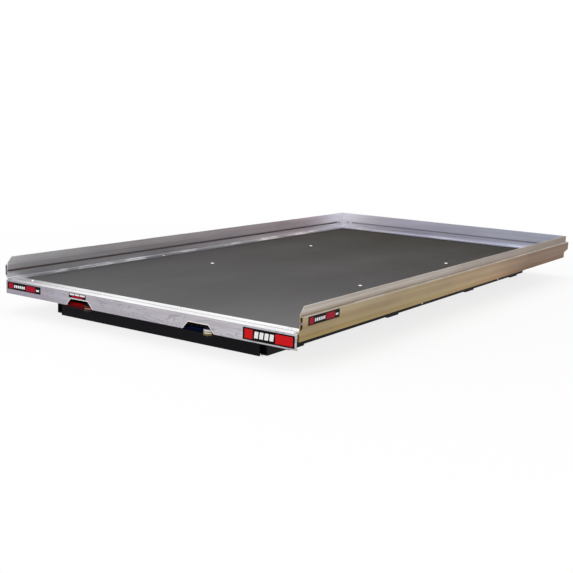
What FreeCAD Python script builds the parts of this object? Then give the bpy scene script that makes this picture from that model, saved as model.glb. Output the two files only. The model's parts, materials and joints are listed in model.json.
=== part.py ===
import FreeCAD, Part
import math
import os
from FreeCAD import Vector

# Truck bed slide: a cargo deck with aluminium rails on three sides, which rolls out
# over the tailgate on bearings that are bolted to a steel base frame.
# Millimetres. +Y points to the cab, +X to the right, +Z up. The origin is the middle
# of the footprint, at the underside of the base frame.

# Deck tray
deck_length = 2286.0
deck_width = 1219.0
panel_thickness = 18.0
panel_edge_play = 0.3

# Side and rear rail: one extrusion, used three times
rail_bottom = 88.0
rail_height = 101.6
rail_wall = 3.2
rail_floor_wall = 3.0
rail_floor_reach = 30.0
rail_lip_reach = 19.0
rail_lip_play = 0.3
fin_outset = 2.2
track_out = 12.5
track_slope_foot = 24.0
track_slope_head = 40.0
track_top = 75.0
track_edge = 3.0
track_mouth = 7.0
track_mouth_centre = 53.5
inner_step = 2.2
inner_step_height = 30.0
rail_front_gap = 9.0
nose_cut_length = 20.0
nose_cut_height = 22.0

# Front channel
face_height = 47.5
face_wall = 3.0
face_end_inset = 3.0
front_flange_depth = 66.0
front_groove_place = 34.0
front_groove_width = 3.0
front_groove_depth = 1.0
front_return_depth = 10.0
hand_hole_inset = 358.5
hand_hole_bottom = 122.0
hand_hole_top = 78.0
hand_hole_height = 24.0

# Base frame
base_side_inset = 162.5
base_rail_height = 86.0
base_steel = 5.0
base_foot_flange = 25.0
base_front = 84.0
base_rail_setback = 6.0
base_rear_inset = 86.0
cross_height = 40.0
cross_depth = 46.0
cross_steel = 4.0
cross_count = 4

# Bolt-down feet under the base rails, which reach inwards
first_foot_place = 250.0
foot_cross_gap = 28.0
foot_reach = 40.0
foot_length = 84.0
foot_steel = 5.0
foot_corner = 12.0
foot_hole_radius = 5.5
foot_hole_offset = 20.0
gusset_height = 26.0
gusset_reach = 30.0
gusset_steel = 5.0

# Bearings, which stay on the base, and the channels that roll on them
bearing_radius = 17.5
bearing_width = 11.0
front_bearing_places = (118.0, 300.0, 640.0)
last_bearing_inset = 270.0
bearing_shield_radius = 13.5
bearing_hub_radius = 8.0
bearing_shield_depth = 0.8
bearing_chamfer = 1.0
axle_radius = 5.0
running_play = 0.05
roll_play = 0.3
spacer_length = 2.5
spacer_radius = 8.0
axle_head_radius = 8.0
axle_head_length = 3.6
axle_nut_length = 8.0
nut_radius = 9.8
channel_steel = 4.0
channel_play = 2.0
channel_web_gap = 5.5
channel_front = 64.0
channel_rear_gap = 4.0

# Braces under the panel and the bolts through them
brace_places = (820.0, 1554.0)
brace_width = 50.0
brace_height = 20.0
brace_steel = 3.0
deck_bolt_inset = 77.0
deck_head_radius = 8.0
deck_head_height = 3.0
deck_shank_radius = 4.0
shank_play = 0.25
deck_nut_radius = 7.5
deck_nut_height = 6.5

# Screws through the front flange and through the rails' lips
front_bolt_left_inset = 79.5
front_bolt_right_inset = 59.5
front_bolt_middle = (-194.0, 136.0)
front_bolt_place = 50.0
rail_screw_places = (815.0, 1507.0)
rear_screw_inset = 279.5
rail_screw_inset = 13.2
screw_head_radius = 6.5
screw_head_height = 2.6
screw_shank_radius = 3.0
screw_drop = 12.0
screw_bite = 14.0
screw_point = 4.0

# Corner brackets held in the tracks
bracket_leg = 58.0
bracket_height = 24.0
bracket_steel = 3.0
bracket_bolt_place = 36.0
bracket_bolt_radius = 3.0
bracket_head_radius = 6.0
bracket_head_height = 3.2
track_nut_length = 18.0
track_nut_height = 14.0
track_nut_thickness = 4.0

# Travel and its stops
travel = 1600.0
stop_web_gap = 6.0
stop_half_width = 11.0
stop_height = 28.0
stop_thickness = 16.0
stop_setback = 28.0
bumper_radius = 10.0
bumper_length = 12.0
bumper_nose = 3.6
bumper_lift = 16.0
lug_thickness = 18.0
lug_height = 24.0
stop_play = 0.3

# Release levers and their latch pins, one pair behind each hand hole
lever_names = ("red", "blue")
lever_sides = (-1.0, 1.0)
pivot_offset = 25.0
pivot_place = 22.0
pivot_radius = 5.0
latch_plate_steel = 4.0
latch_plate_left = 30.0
latch_plate_right = 58.0
latch_plate_front = 6.0
latch_plate_rear = 116.0
latch_plate_corner = 8.0
spacer_tube_radius = 9.0
spacer_tube_length = 14.0
big_washer_radius = 17.0
big_washer_thickness = 4.5
lever_play = 0.3
lever_steel = 9.0
lever_hub_radius = 15.0
lever_arm_width = 20.0
grip_washer_gap = 1.5
grip_length = 84.0
grip_height = 20.0
grip_thickness = 15.0
grip_wall = 3.0
grip_corner = 6.0
pin_place = 96.0
pin_radius = 6.0
pin_gap_to_arm = 1.0
pin_back = 11.0
pin_reach = 60.0
pin_point = 2.5
stud_radius = 3.0
stud_side_play = 0.4
stud_slot_extra = 3.0
stud_rise = 2.0
guide_places = (30.0, 48.0)
guide_steel = 4.0
guide_half_width = 11.0
guide_skirt = 9.0
guide_play = 0.1
keeper_gap = 2.0
keeper_length = 16.0
keeper_half_width = 12.0
keeper_top_margin = 6.0
keeper_play = 0.6

# Shared by many pieces: how far bolts pass their nuts, how much narrower a domed end is
# at its tip, and how far every cutter overshoots the face it opens
bolt_past_nut = 2.0
dome_ratio = 0.6
cut_margin = 1.0

# Worked out from the sizes above
overall_length = deck_length + track_out
half_width = deck_width / 2
face_plane = -overall_length / 2
panel_bottom = rail_bottom + rail_floor_wall
panel_top = panel_bottom + panel_thickness
flange_top = panel_top + face_wall
lip_bottom = panel_top + rail_lip_play
lip_top = lip_bottom + rail_wall
face_bottom = flange_top - face_height
front_bolt_ends = (-half_width + front_bolt_left_inset, half_width - front_bolt_right_inset)
front_bolt_x = front_bolt_ends + front_bolt_middle
rear_screw_x = (-half_width + rear_screw_inset, half_width - rear_screw_inset)
hand_hole_centre = half_width - hand_hole_inset
base_half_width = half_width - base_side_inset
base_web_inside = base_half_width - base_steel
base_flange_end = base_half_width - base_foot_flange
base_rear = deck_length - base_rear_inset
cross_pitch = (base_rear - cross_depth - base_front) / (cross_count - 1)
cross_places = tuple(cross_pitch * k for k in range(cross_count))
last_bearing_place = base_rear - last_bearing_inset
middle_bearing_place = (front_bearing_places[-1] + last_bearing_place) / 2
bearing_places = front_bearing_places + (middle_bearing_place, last_bearing_place)
foot_behind_cross = cross_depth + foot_cross_gap + foot_length / 2
foot_places = (
    first_foot_place,
    base_front + cross_pitch + foot_behind_cross,
    base_front + cross_pitch * 2 + foot_behind_cross,
    base_rear - foot_behind_cross,
)
bearing_outside = base_web_inside - spacer_length
bearing_inside = bearing_outside - bearing_width
channel_outside = base_web_inside - channel_play
channel_web_outside = bearing_inside - channel_web_gap
channel_web_inside = channel_web_outside - channel_steel
stop_x = channel_web_inside - stop_web_gap - stop_half_width
deck_bolt_x = channel_web_inside - deck_bolt_inset
axle_height = panel_bottom - channel_steel - roll_play - bearing_radius
channel_bottom = axle_height - bearing_radius - roll_play - channel_steel
channel_rear = deck_length - rail_floor_reach - channel_rear_gap
rear_brace_place = channel_rear - brace_width / 2
brace_bottom = panel_bottom - brace_height
latch_plate_bottom = panel_bottom - latch_plate_steel
washer_top = latch_plate_bottom - spacer_tube_length
lever_top = washer_top - big_washer_thickness - lever_play
lever_bottom = lever_top - lever_steel
lower_washer_top = lever_bottom - lever_play
lower_washer_bottom = lower_washer_top - big_washer_thickness
grip_start = big_washer_radius + grip_washer_gap
pin_height = lever_bottom - pin_gap_to_arm - pin_radius
track_floor = panel_top - rail_bottom + rail_lip_play + rail_wall


def back(distance):
    """Y of a plane that lies this far behind the tray's front face."""
    return face_plane + distance


def block(x, y, z):
    """Box from three (low, high) pairs."""
    size = (x[1] - x[0], y[1] - y[0], z[1] - z[0])
    return Part.makeBox(*size, Vector(x[0], y[0], z[0]))


def prism(points, plane, low, high):
    """Straight extrusion of a polygon that is drawn in the plane XY, XZ or YZ."""
    place = {
        "XY": lambda a, b: Vector(a, b, low),
        "XZ": lambda a, b: Vector(a, low, b),
        "YZ": lambda a, b: Vector(low, a, b),
    }[plane]
    run = {"XY": Vector(0, 0, 1), "XZ": Vector(0, 1, 0), "YZ": Vector(1, 0, 0)}[plane]
    corners = [place(a, b) for a, b in points]
    face = Part.Face(Part.makePolygon(corners + corners[:1]))
    return face.extrude(run * (high - low))


def rod(radius, start, run):
    """Cylinder from a start point along the vector run."""
    return Part.makeCylinder(radius, run.Length, start, run)


def tube(outer, inner, start, run):
    """Cylinder with a bore through it."""
    return rod(outer, start, run).cut(rod(inner, start, run))


def hexagon(radius, start, run, bore=0.0):
    """Hexagonal prism along X or Z, with an optional bore, as a nut or a bolt head."""
    angles = [math.radians(60 * k) for k in range(6)]
    if abs(run.x) > 0:
        low, high = sorted((start.x, start.x + run.x))
        points = [(start.y + radius * math.cos(a), start.z + radius * math.sin(a)) for a in angles]
        shape = prism(points, "YZ", low, high)
    else:
        low, high = sorted((start.z, start.z + run.z))
        points = [(start.x + radius * math.cos(a), start.y + radius * math.sin(a)) for a in angles]
        shape = prism(points, "XY", low, high)
    if bore > 0:
        shape = shape.cut(rod(bore, start, run))
    return shape


def mirrored(shape):
    """The same piece on the other side of the tray."""
    return shape.mirror(Vector(0, 0, 0), Vector(1, 0, 0))


def both_sides(shapes):
    """The pieces given, on the right and on the left."""
    return list(shapes) + [mirrored(shape) for shape in shapes]


def save(name, *shapes):
    """One STEP file for one node: a single solid, or a set of like solids."""
    shape = shapes[0] if len(shapes) == 1 else Part.makeCompound(list(shapes))
    shape.exportStep("parts/" + name + ".step")


def rail_section():
    """Outline of the rail. The first value is the distance outwards from the rail's
    lower web, and the second is the height above its underside. It runs up the outside,
    round the hollow track, and down the inside to the two lips that hold the panel."""
    inside = fin_outset - rail_wall
    cavity_out = track_out - rail_wall
    mouth_low = track_mouth_centre - track_mouth / 2
    mouth_high = track_mouth_centre + track_mouth / 2
    slope = (track_slope_head - track_slope_foot) / track_out
    wall_rise = rail_wall * math.hypot(1, slope)
    slope_low = track_slope_foot + fin_outset * slope + wall_rise
    slope_high = track_slope_foot + cavity_out * slope + wall_rise
    foot = inside - inner_step
    lip_under = track_floor - rail_wall
    return [
        (0, 0),
        (0, track_slope_foot),
        (track_out, track_slope_head),
        (track_out, track_top - track_edge),
        (track_out - track_edge, track_top),
        (fin_outset, track_top),
        (fin_outset, rail_height),
        (inside, rail_height),
        (inside, mouth_high),
        (fin_outset, mouth_high),
        (fin_outset, track_top - rail_wall),
        (cavity_out, track_top - rail_wall),
        (cavity_out, slope_high),
        (fin_outset, slope_low),
        (fin_outset, mouth_low),
        (inside, mouth_low),
        (inside, inner_step_height),
        (foot, inner_step_height - inner_step),
        (foot, track_floor),
        (-rail_lip_reach, track_floor),
        (-rail_lip_reach, lip_under),
        (-rail_wall, lip_under),
        (-rail_wall, rail_floor_wall),
        (-rail_floor_reach, rail_floor_wall),
        (-rail_floor_reach, 0),
    ]


def mitre(keep_side):
    """Wedge behind the 45 degree joint at the right rear corner. It covers what belongs
    to the rear rail, or with keep_side False what belongs to the side rail."""
    corner = (half_width, back(deck_length))
    far = 2 * rail_height
    if keep_side:
        points = [(-far, -far), (far, far), (-far, far)]
    else:
        points = [(-far, -far), (far, far), (far, -far)]
    placed = [(corner[0] + a, corner[1] + b) for a, b in points]
    return prism(placed, "XY", rail_bottom - cut_margin, rail_bottom + rail_height + cut_margin)


def screw_holes(points, radius, low, high):
    """Cutters for vertical holes at a list of X, Y points."""
    return Part.makeCompound([rod(radius, Vector(x, y, low), Vector(0, 0, high - low)) for x, y in points])


def front_bolt_points():
    return [(x, back(front_bolt_place)) for x in front_bolt_x]


def side_screw_points():
    return [(half_width - rail_screw_inset, back(place)) for place in rail_screw_places]


def rear_screw_points():
    return [(x, back(deck_length - rail_screw_inset)) for x in rear_screw_x]


def deck_bolt_points():
    return [(side * deck_bolt_x, back(place)) for side in (-1, 1) for place in brace_places]


def side_rail():
    """Right side rail: mitred at the cab end, its fin cut back at the tailgate end."""
    section = [(half_width + out, rail_bottom + up) for out, up in rail_section()]
    front = back(rail_front_gap)
    rail = prism(section, "XZ", front, back(overall_length) + cut_margin)
    rail = rail.cut(mitre(True))
    top = rail_bottom + rail_height
    nose = [(front - cut_margin, top + cut_margin)]
    nose.append((front - cut_margin, top - nose_cut_height - cut_margin))
    nose.append((front + nose_cut_length + cut_margin, top + cut_margin))
    wide = (half_width - rail_floor_reach, half_width + track_out + cut_margin)
    rail = rail.cut(prism(nose, "YZ", wide[0], wide[1]))
    # The panel lip stops behind the front channel's flange, which lies over the panel
    lip = block(
        (half_width - rail_lip_reach - cut_margin, half_width - rail_wall),
        (front - cut_margin, back(face_wall + rail_front_gap)),
        (rail_bottom + rail_floor_wall, panel_top + rail_lip_play + rail_wall + cut_margin),
    )
    rail = rail.cut(lip)
    low = rail_bottom - cut_margin
    high = lip_top + cut_margin
    return rail.cut(screw_holes(side_screw_points(), screw_shank_radius + shank_play, low, high))


def rear_rail():
    """Rear rail: the same extrusion across the cab end, mitred at both ends."""
    section = [(back(deck_length) + out, rail_bottom + up) for out, up in rail_section()]
    reach = half_width + track_out + cut_margin
    rail = prism(section, "YZ", -reach, reach)
    wedge = mitre(False)
    rail = rail.cut(wedge)
    rail = rail.cut(mirrored(wedge))
    low = rail_bottom - cut_margin
    high = lip_top + cut_margin
    return rail.cut(screw_holes(rear_screw_points(), screw_shank_radius + shank_play, low, high))


def hand_hole(side):
    """Cutter for one hand hole: a trapezium, open at the bottom of the face."""
    centre = side * hand_hole_centre
    top = face_bottom + hand_hole_height
    slant = (hand_hole_bottom - hand_hole_top) / 2 / hand_hole_height
    low = hand_hole_bottom / 2 + slant
    points = [(centre - low, face_bottom - cut_margin), (centre + low, face_bottom - cut_margin)]
    points.append((centre + hand_hole_top / 2, top))
    points.append((centre - hand_hole_top / 2, top))
    return prism(points, "XZ", back(-cut_margin), back(front_return_depth + cut_margin))


def front_channel():
    """Tailgate-end channel: a face with two hand holes, a flange over the panel's edge
    with a shallow groove along it, and a return under the face."""
    groove_low = front_groove_place - front_groove_width / 2
    groove_high = front_groove_place + front_groove_width / 2
    section = [
        (0, face_bottom),
        (0, flange_top),
        (groove_low, flange_top),
        (groove_low + front_groove_width / 3, flange_top - front_groove_depth),
        (groove_high - front_groove_width / 3, flange_top - front_groove_depth),
        (groove_high, flange_top),
        (front_flange_depth, flange_top),
        (front_flange_depth, panel_top),
        (face_wall, panel_top),
        (face_wall, face_bottom + face_wall),
        (front_return_depth, face_bottom + face_wall),
        (front_return_depth, face_bottom),
    ]
    section = [(back(depth), up) for depth, up in section]
    reach = half_width - face_end_inset
    channel = prism(section, "YZ", -reach, reach)
    # The flange is notched at its ends, to lie between the rails' lips
    inner = half_width - rail_lip_reach - panel_edge_play
    notch = block(
        (inner, reach + cut_margin),
        (back(rail_front_gap - panel_edge_play), back(front_flange_depth + cut_margin)),
        (face_bottom - cut_margin, flange_top + cut_margin),
    )
    channel = channel.cut(notch)
    channel = channel.cut(mirrored(notch))
    for side in (-1, 1):
        channel = channel.cut(hand_hole(side))
    low = panel_top - cut_margin
    high = flange_top + cut_margin
    return channel.cut(screw_holes(front_bolt_points(), screw_shank_radius + shank_play, low, high))


def deck_panel():
    """Coated plywood panel, held in the rails and under the front flange."""
    side = half_width - rail_wall - panel_edge_play
    front = back(face_wall + panel_edge_play)
    rear = back(deck_length - rail_wall - panel_edge_play)
    panel = block((-side, side), (front, rear), (panel_bottom, panel_top))
    low = panel_bottom - cut_margin
    high = panel_top + cut_margin
    rail_points = side_screw_points() + [(-x, y) for x, y in side_screw_points()] + rear_screw_points()
    panel = panel.cut(screw_holes(rail_points, screw_shank_radius + shank_play, low, high))
    bite = panel_top - screw_bite
    panel = panel.cut(screw_holes(front_bolt_points(), screw_shank_radius + shank_play, bite, high))
    return panel.cut(screw_holes(deck_bolt_points(), deck_shank_radius + shank_play, low, high))


def wood_screw(x, y, seat, end):
    """Button-head screw from its seat down to the height end, with its point."""
    drop = seat - end - screw_point
    head_low = rod(screw_head_radius, Vector(x, y, seat), Vector(0, 0, screw_head_height / 2))
    dome = Part.makeCone(
        screw_head_radius,
        screw_head_radius * dome_ratio,
        screw_head_height / 2,
        Vector(x, y, seat + screw_head_height / 2),
    )
    shank = rod(screw_shank_radius, Vector(x, y, seat - drop), Vector(0, 0, drop))
    point = Part.makeCone(0, screw_shank_radius, screw_point, Vector(x, y, seat - drop - screw_point))
    return head_low.fuse([dome, shank, point])


def deck_bolt(x, y):
    """Low round head on the panel, and a shank through the brace."""
    head_top = deck_head_radius * dome_ratio
    head = Part.makeCone(deck_head_radius, head_top, deck_head_height, Vector(x, y, panel_top))
    length = panel_top - (panel_bottom - brace_steel - deck_nut_height - bolt_past_nut)
    shank = rod(deck_shank_radius, Vector(x, y, panel_top - length), Vector(0, 0, length))
    return head.fuse(shank)


def deck_nut(x, y):
    top = panel_bottom - brace_steel
    start = Vector(x, y, top - deck_nut_height)
    return hexagon(deck_nut_radius, start, Vector(0, 0, deck_nut_height), deck_shank_radius + running_play)


def brace(place):
    """Channel across the underside of the panel, from slide channel to slide channel."""
    low = brace_bottom
    half = brace_width / 2
    section = [
        (-half, low),
        (-half, panel_bottom),
        (half, panel_bottom),
        (half, low),
        (half - brace_steel, low),
        (half - brace_steel, panel_bottom - brace_steel),
        (-half + brace_steel, panel_bottom - brace_steel),
        (-half + brace_steel, low),
    ]
    section = [(back(place) + a, b) for a, b in section]
    shape = prism(section, "YZ", -channel_web_inside, channel_web_inside)
    high = panel_bottom + cut_margin
    return shape.cut(screw_holes(deck_bolt_points(), deck_shank_radius + shank_play, low, high))


def slide_channel():
    """Right slide channel: opens outwards round the bearings, under the panel."""
    inner = channel_web_inside
    section = [
        (inner, channel_bottom),
        (channel_outside, channel_bottom),
        (channel_outside, channel_bottom + channel_steel),
        (channel_web_outside, channel_bottom + channel_steel),
        (channel_web_outside, panel_bottom - channel_steel),
        (channel_outside, panel_bottom - channel_steel),
        (channel_outside, panel_bottom),
        (inner, panel_bottom),
    ]
    return prism(section, "XZ", back(channel_front), back(channel_rear))


def base_rail():
    """Right base rail: an upright web with a flange turned inwards, which lies on the
    feet."""
    section = [
        (base_flange_end, foot_steel),
        (base_half_width, foot_steel),
        (base_half_width, base_rail_height),
        (base_web_inside, base_rail_height),
        (base_web_inside, foot_steel + base_steel),
        (base_flange_end, foot_steel + base_steel),
    ]
    front = back(base_front + base_rail_setback)
    rail = prism(section, "XZ", front, back(base_rear))
    for place in bearing_places:
        start = Vector(base_web_inside - cut_margin, back(place), axle_height)
        rail = rail.cut(rod(axle_radius + running_play, start, Vector(base_steel + 2 * cut_margin, 0, 0)))
    return rail


def crossmember(place):
    """Channel across the base, open downwards. Its top reaches both rails' webs, and
    its walls stop at their foot flanges."""
    front = base_front + place
    rear = front + cross_depth
    under = cross_height - cross_steel
    top = block((-base_web_inside, base_web_inside), (back(front), back(rear)), (under, cross_height))
    if place == cross_places[0]:
        corner = block(
            (base_flange_end, base_web_inside + cut_margin),
            (back(front) - cut_margin, back(front + base_rail_setback)),
            (0, cross_height + cut_margin),
        )
        top = top.cut(corner)
        top = top.cut(mirrored(corner))
    walls = []
    for start in (front, rear - cross_steel):
        depth = (back(start), back(start + cross_steel))
        walls.append(block((-base_flange_end, base_flange_end), depth, (0, under)))
    return top.fuse(walls)


def foot(place):
    """Bolt-down foot under the right base rail: a plate with rounded corners, a bolt
    hole beside the rail's flange, and two gussets up the inside of its web."""
    low = back(place - foot_length / 2)
    high = back(place + foot_length / 2)
    inner = base_flange_end - foot_reach
    plate = block((inner, base_half_width), (low, high), (0, foot_steel))
    upright = [e for e in plate.Edges if e.BoundBox.ZLength > foot_steel / 2]
    edges = [e for e in upright if e.BoundBox.XMax < base_flange_end]
    plate = plate.makeFillet(foot_corner, edges)
    hole_x = base_flange_end - foot_hole_offset
    drill_start = Vector(hole_x, back(place), -cut_margin)
    plate = plate.cut(rod(foot_hole_radius, drill_start, Vector(0, 0, foot_steel + 2 * cut_margin)))
    flange_head = foot_steel + base_steel
    slope_end = base_web_inside - gusset_reach
    points = [
        (slope_end, foot_steel),
        (base_flange_end, foot_steel),
        (base_flange_end, flange_head),
        (base_web_inside, flange_head),
        (base_web_inside, flange_head + gusset_height),
    ]
    webs = [prism(points, "XZ", start, start + gusset_steel) for start in (low, high - gusset_steel)]
    return plate.fuse(webs)


def bearing(place):
    """Right bearing: an outer ring, its shields set in a little, and the hub."""
    half = bearing_width / 2
    edge = half - bearing_shield_depth
    bore = axle_radius + running_play
    outline = [
        (bore, -half),
        (bearing_hub_radius, -half),
        (bearing_hub_radius, -edge),
        (bearing_shield_radius, -edge),
        (bearing_shield_radius, -half),
        (bearing_radius - bearing_chamfer, -half),
        (bearing_radius, -half + bearing_chamfer),
        (bearing_radius, half - bearing_chamfer),
        (bearing_radius - bearing_chamfer, half),
        (bearing_shield_radius, half),
        (bearing_shield_radius, edge),
        (bearing_hub_radius, edge),
        (bearing_hub_radius, half),
        (bore, half),
    ]
    centre = Vector(bearing_inside + half, back(place), axle_height)
    points = [centre + Vector(along, 0, radius) for radius, along in outline]
    face = Part.Face(Part.makePolygon(points + points[:1]))
    return face.revolve(centre, Vector(1, 0, 0), 360)


def axle_bolt(place):
    """Bolt that carries a bearing, its flat head on the inside of the bearing."""
    centre = Vector(bearing_inside, back(place), axle_height)
    length = base_half_width + axle_nut_length + bolt_past_nut - bearing_inside
    shank = rod(axle_radius, centre, Vector(length, 0, 0))
    head = rod(axle_head_radius, centre - Vector(axle_head_length, 0, 0), Vector(axle_head_length, 0, 0))
    return shank.fuse(head)


def axle_spacer(place):
    centre = Vector(bearing_outside, back(place), axle_height)
    return tube(spacer_radius, axle_radius + running_play, centre, Vector(spacer_length, 0, 0))


def axle_nut(place):
    centre = Vector(base_half_width, back(place), axle_height)
    return hexagon(nut_radius, centre, Vector(axle_nut_length, 0, 0), axle_radius + running_play)


def stop_block(near):
    """Upright block on the base. near is its tailgate-side face."""
    wide = (stop_x - stop_half_width, stop_x + stop_half_width)
    return block(wide, (back(near), back(near + stop_thickness)), (cross_height, cross_height + stop_height))


def bumper(start, run):
    """Round rubber buffer with a domed nose."""
    centre = Vector(stop_x, back(start), cross_height + bumper_lift)
    straight = Vector(0, run * (bumper_length - bumper_nose), 0)
    body = rod(bumper_radius, centre, straight)
    nose = Part.makeCone(
        bumper_radius,
        bumper_radius * dome_ratio,
        bumper_nose,
        centre + straight,
        Vector(0, run, 0),
    )
    return body.fuse(nose)


def lug(start):
    """Stop lug on the inside of the slide channel, which meets a bumper."""
    low = channel_bottom + channel_steel
    wide = (stop_x - stop_half_width, channel_web_inside)
    return block(wide, (back(start), back(start + lug_thickness)), (low, low + lug_height))


def corner_bracket():
    """Angle plate inside the right rear corner, bolted into the two tracks."""
    inner_x = half_width + fin_outset - rail_wall
    inner_y = back(deck_length + fin_outset - rail_wall)
    centre = rail_bottom + track_mouth_centre
    tall = (centre - bracket_height / 2, centre + bracket_height / 2)
    points = [
        (inner_x, inner_y),
        (inner_x - bracket_leg, inner_y),
        (inner_x - bracket_leg, inner_y - bracket_steel),
        (inner_x - bracket_steel, inner_y - bracket_steel),
        (inner_x - bracket_steel, inner_y - bracket_leg),
        (inner_x, inner_y - bracket_leg),
    ]
    plate = prism(points, "XY", tall[0], tall[1])
    hole = bracket_bolt_radius + shank_play
    along_x = Vector(inner_x - bracket_steel - cut_margin, inner_y - bracket_bolt_place, centre)
    along_y = Vector(inner_x - bracket_bolt_place, inner_y - bracket_steel - cut_margin, centre)
    plate = plate.cut(rod(hole, along_x, Vector(bracket_steel + 2 * cut_margin, 0, 0)))
    return plate.cut(rod(hole, along_y, Vector(0, bracket_steel + 2 * cut_margin, 0)))


def bracket_bolt(centre, out):
    """Button-head bolt through the bracket into its track nut. centre is the middle of
    the head's seat, and out the direction to the outside."""
    length = bracket_steel + rail_wall + track_nut_thickness
    shank = rod(bracket_bolt_radius, centre, out * length)
    dome = Part.makeCone(
        bracket_head_radius * dome_ratio,
        bracket_head_radius,
        bracket_head_height,
        centre - out * bracket_head_height,
        out,
    )
    return shank.fuse(dome)


def bracket_bolts():
    inner_x = half_width + fin_outset - rail_wall
    inner_y = back(deck_length + fin_outset - rail_wall)
    centre = rail_bottom + track_mouth_centre
    side_seat = Vector(inner_x - bracket_steel, inner_y - bracket_bolt_place, centre)
    rear_seat = Vector(inner_x - bracket_bolt_place, inner_y - bracket_steel, centre)
    return [
        bracket_bolt(side_seat, Vector(1, 0, 0)),
        bracket_bolt(rear_seat, Vector(0, 1, 0)),
    ]


def track_nuts():
    """Flat nuts behind the lips of the tracks, one for each bracket bolt."""
    low_x = half_width + fin_outset
    low_y = back(deck_length + fin_outset)
    inner_x = low_x - rail_wall
    inner_y = low_y - rail_wall
    centre = rail_bottom + track_mouth_centre
    tall = (centre - track_nut_height / 2, centre + track_nut_height / 2)
    half = track_nut_length / 2
    side_y = inner_y - bracket_bolt_place
    rear_x = inner_x - bracket_bolt_place
    side = block((low_x, low_x + track_nut_thickness), (side_y - half, side_y + half), tall)
    rear = block((rear_x - half, rear_x + half), (low_y, low_y + track_nut_thickness), tall)
    bore = bracket_bolt_radius + running_play
    run = track_nut_thickness + 2 * cut_margin
    side = side.cut(rod(bore, Vector(low_x - cut_margin, side_y, centre), Vector(run, 0, 0)))
    rear = rear.cut(rod(bore, Vector(rear_x, low_y - cut_margin, centre), Vector(0, run, 0)))
    return [side, rear]


def latch_bracket(pivot_x):
    """Plate under the panel's front edge. It carries the lever's pivot, and two ears
    that guide the latch pin."""
    plate = block(
        (pivot_x - latch_plate_left, pivot_x + latch_plate_right),
        (back(latch_plate_front), back(latch_plate_rear)),
        (latch_plate_bottom, panel_bottom),
    )
    edges = [e for e in plate.Edges if e.BoundBox.ZLength > latch_plate_steel / 2]
    plate = plate.makeFillet(latch_plate_corner, edges)
    low = pin_height - guide_skirt
    for place in guide_places:
        wide = (pivot_x + place, pivot_x + place + guide_steel)
        deep = (back(pin_place - guide_half_width), back(pin_place + guide_half_width))
        plate = plate.fuse(block(wide, deep, (low, latch_plate_bottom)))
    start = Vector(pivot_x, back(pin_place), pin_height)
    return plate.cut(rod(pin_radius + guide_play, start, Vector(latch_plate_right, 0, 0)))


def pivot_stud(pivot_x):
    """Stud that hangs from the latch bracket, through the lever."""
    low = lower_washer_bottom - axle_nut_length - bolt_past_nut
    start = Vector(pivot_x, back(pivot_place), low)
    return rod(pivot_radius, start, Vector(0, 0, latch_plate_bottom - low))


def pivot_spacer(pivot_x):
    start = Vector(pivot_x, back(pivot_place), washer_top)
    return tube(spacer_tube_radius, pivot_radius + running_play, start, Vector(0, 0, spacer_tube_length))


def pivot_washer(pivot_x, top):
    start = Vector(pivot_x, back(pivot_place), top - big_washer_thickness)
    return tube(big_washer_radius, pivot_radius + running_play, start, Vector(0, 0, big_washer_thickness))


def pivot_nut(pivot_x):
    start = Vector(pivot_x, back(pivot_place), lower_washer_bottom - axle_nut_length)
    return hexagon(nut_radius, start, Vector(0, 0, axle_nut_length), pivot_radius + running_play)


def lever(pivot_x):
    """Bell-crank lever: a bar behind the hand hole, a hub on the pivot, and an arm to
    the rear with a slot for the pin's stud."""
    centre = Vector(pivot_x, back(pivot_place), lever_bottom)
    up = Vector(0, 0, lever_steel)
    hub = rod(lever_hub_radius, centre, up)
    bar_half = grip_thickness / 2 - grip_wall
    bar_end = pivot_x - grip_start - grip_length + grip_wall
    bar = block(
        (bar_end, pivot_x),
        (back(pivot_place - bar_half), back(pivot_place + bar_half)),
        (lever_bottom, lever_top),
    )
    arm_half = lever_arm_width / 2
    arm = block(
        (pivot_x - arm_half, pivot_x + arm_half),
        (back(pivot_place), back(pin_place)),
        (lever_bottom, lever_top),
    )
    tip = rod(arm_half, Vector(pivot_x, back(pin_place), lever_bottom), up)
    body = hub.fuse([bar, arm, tip])
    body = body.cut(rod(pivot_radius + running_play, centre, up))
    slot_half = stud_radius + stud_side_play
    slot = block(
        (pivot_x - slot_half, pivot_x + slot_half),
        (back(pin_place - slot_half), back(pin_place + slot_half + stud_slot_extra)),
        (lever_bottom - cut_margin, lever_top + cut_margin),
    )
    return body.cut(slot)


def grip(pivot_x):
    """Dipped vinyl grip round the lever's bar, with rounded edges and a closed end."""
    start = pivot_x - grip_start
    middle = (lever_bottom + lever_top) / 2
    half = grip_thickness / 2
    tall = (middle - grip_height / 2, middle + grip_height / 2)
    body = block(
        (start - grip_length, start),
        (back(pivot_place - half), back(pivot_place + half)),
        tall,
    )
    long_edges = [e for e in body.Edges if e.BoundBox.XLength > grip_length / 2]
    body = body.makeFillet(grip_corner, long_edges)
    bar_half = half - grip_wall
    hole = block(
        (start - grip_length + grip_wall, start + cut_margin),
        (back(pivot_place - bar_half), back(pivot_place + bar_half)),
        (lever_bottom, lever_top),
    )
    return body.cut(hole)


def latch_pin(pivot_x):
    """Pin that slides into the keeper, with the stud that the lever's arm pushes."""
    start = Vector(pivot_x - pin_back, back(pin_place), pin_height)
    straight = pin_back + pin_reach - pin_point
    body = rod(pin_radius, start, Vector(straight, 0, 0))
    tip_start = start + Vector(straight, 0, 0)
    tip = Part.makeCone(pin_radius, pin_radius - pin_point, pin_point, tip_start, Vector(1, 0, 0))
    stud_top = lever_top + stud_rise
    foot_point = Vector(pivot_x, back(pin_place), pin_height)
    stud = rod(stud_radius, foot_point, Vector(0, 0, stud_top - pin_height))
    return body.fuse([tip, stud])


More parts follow.
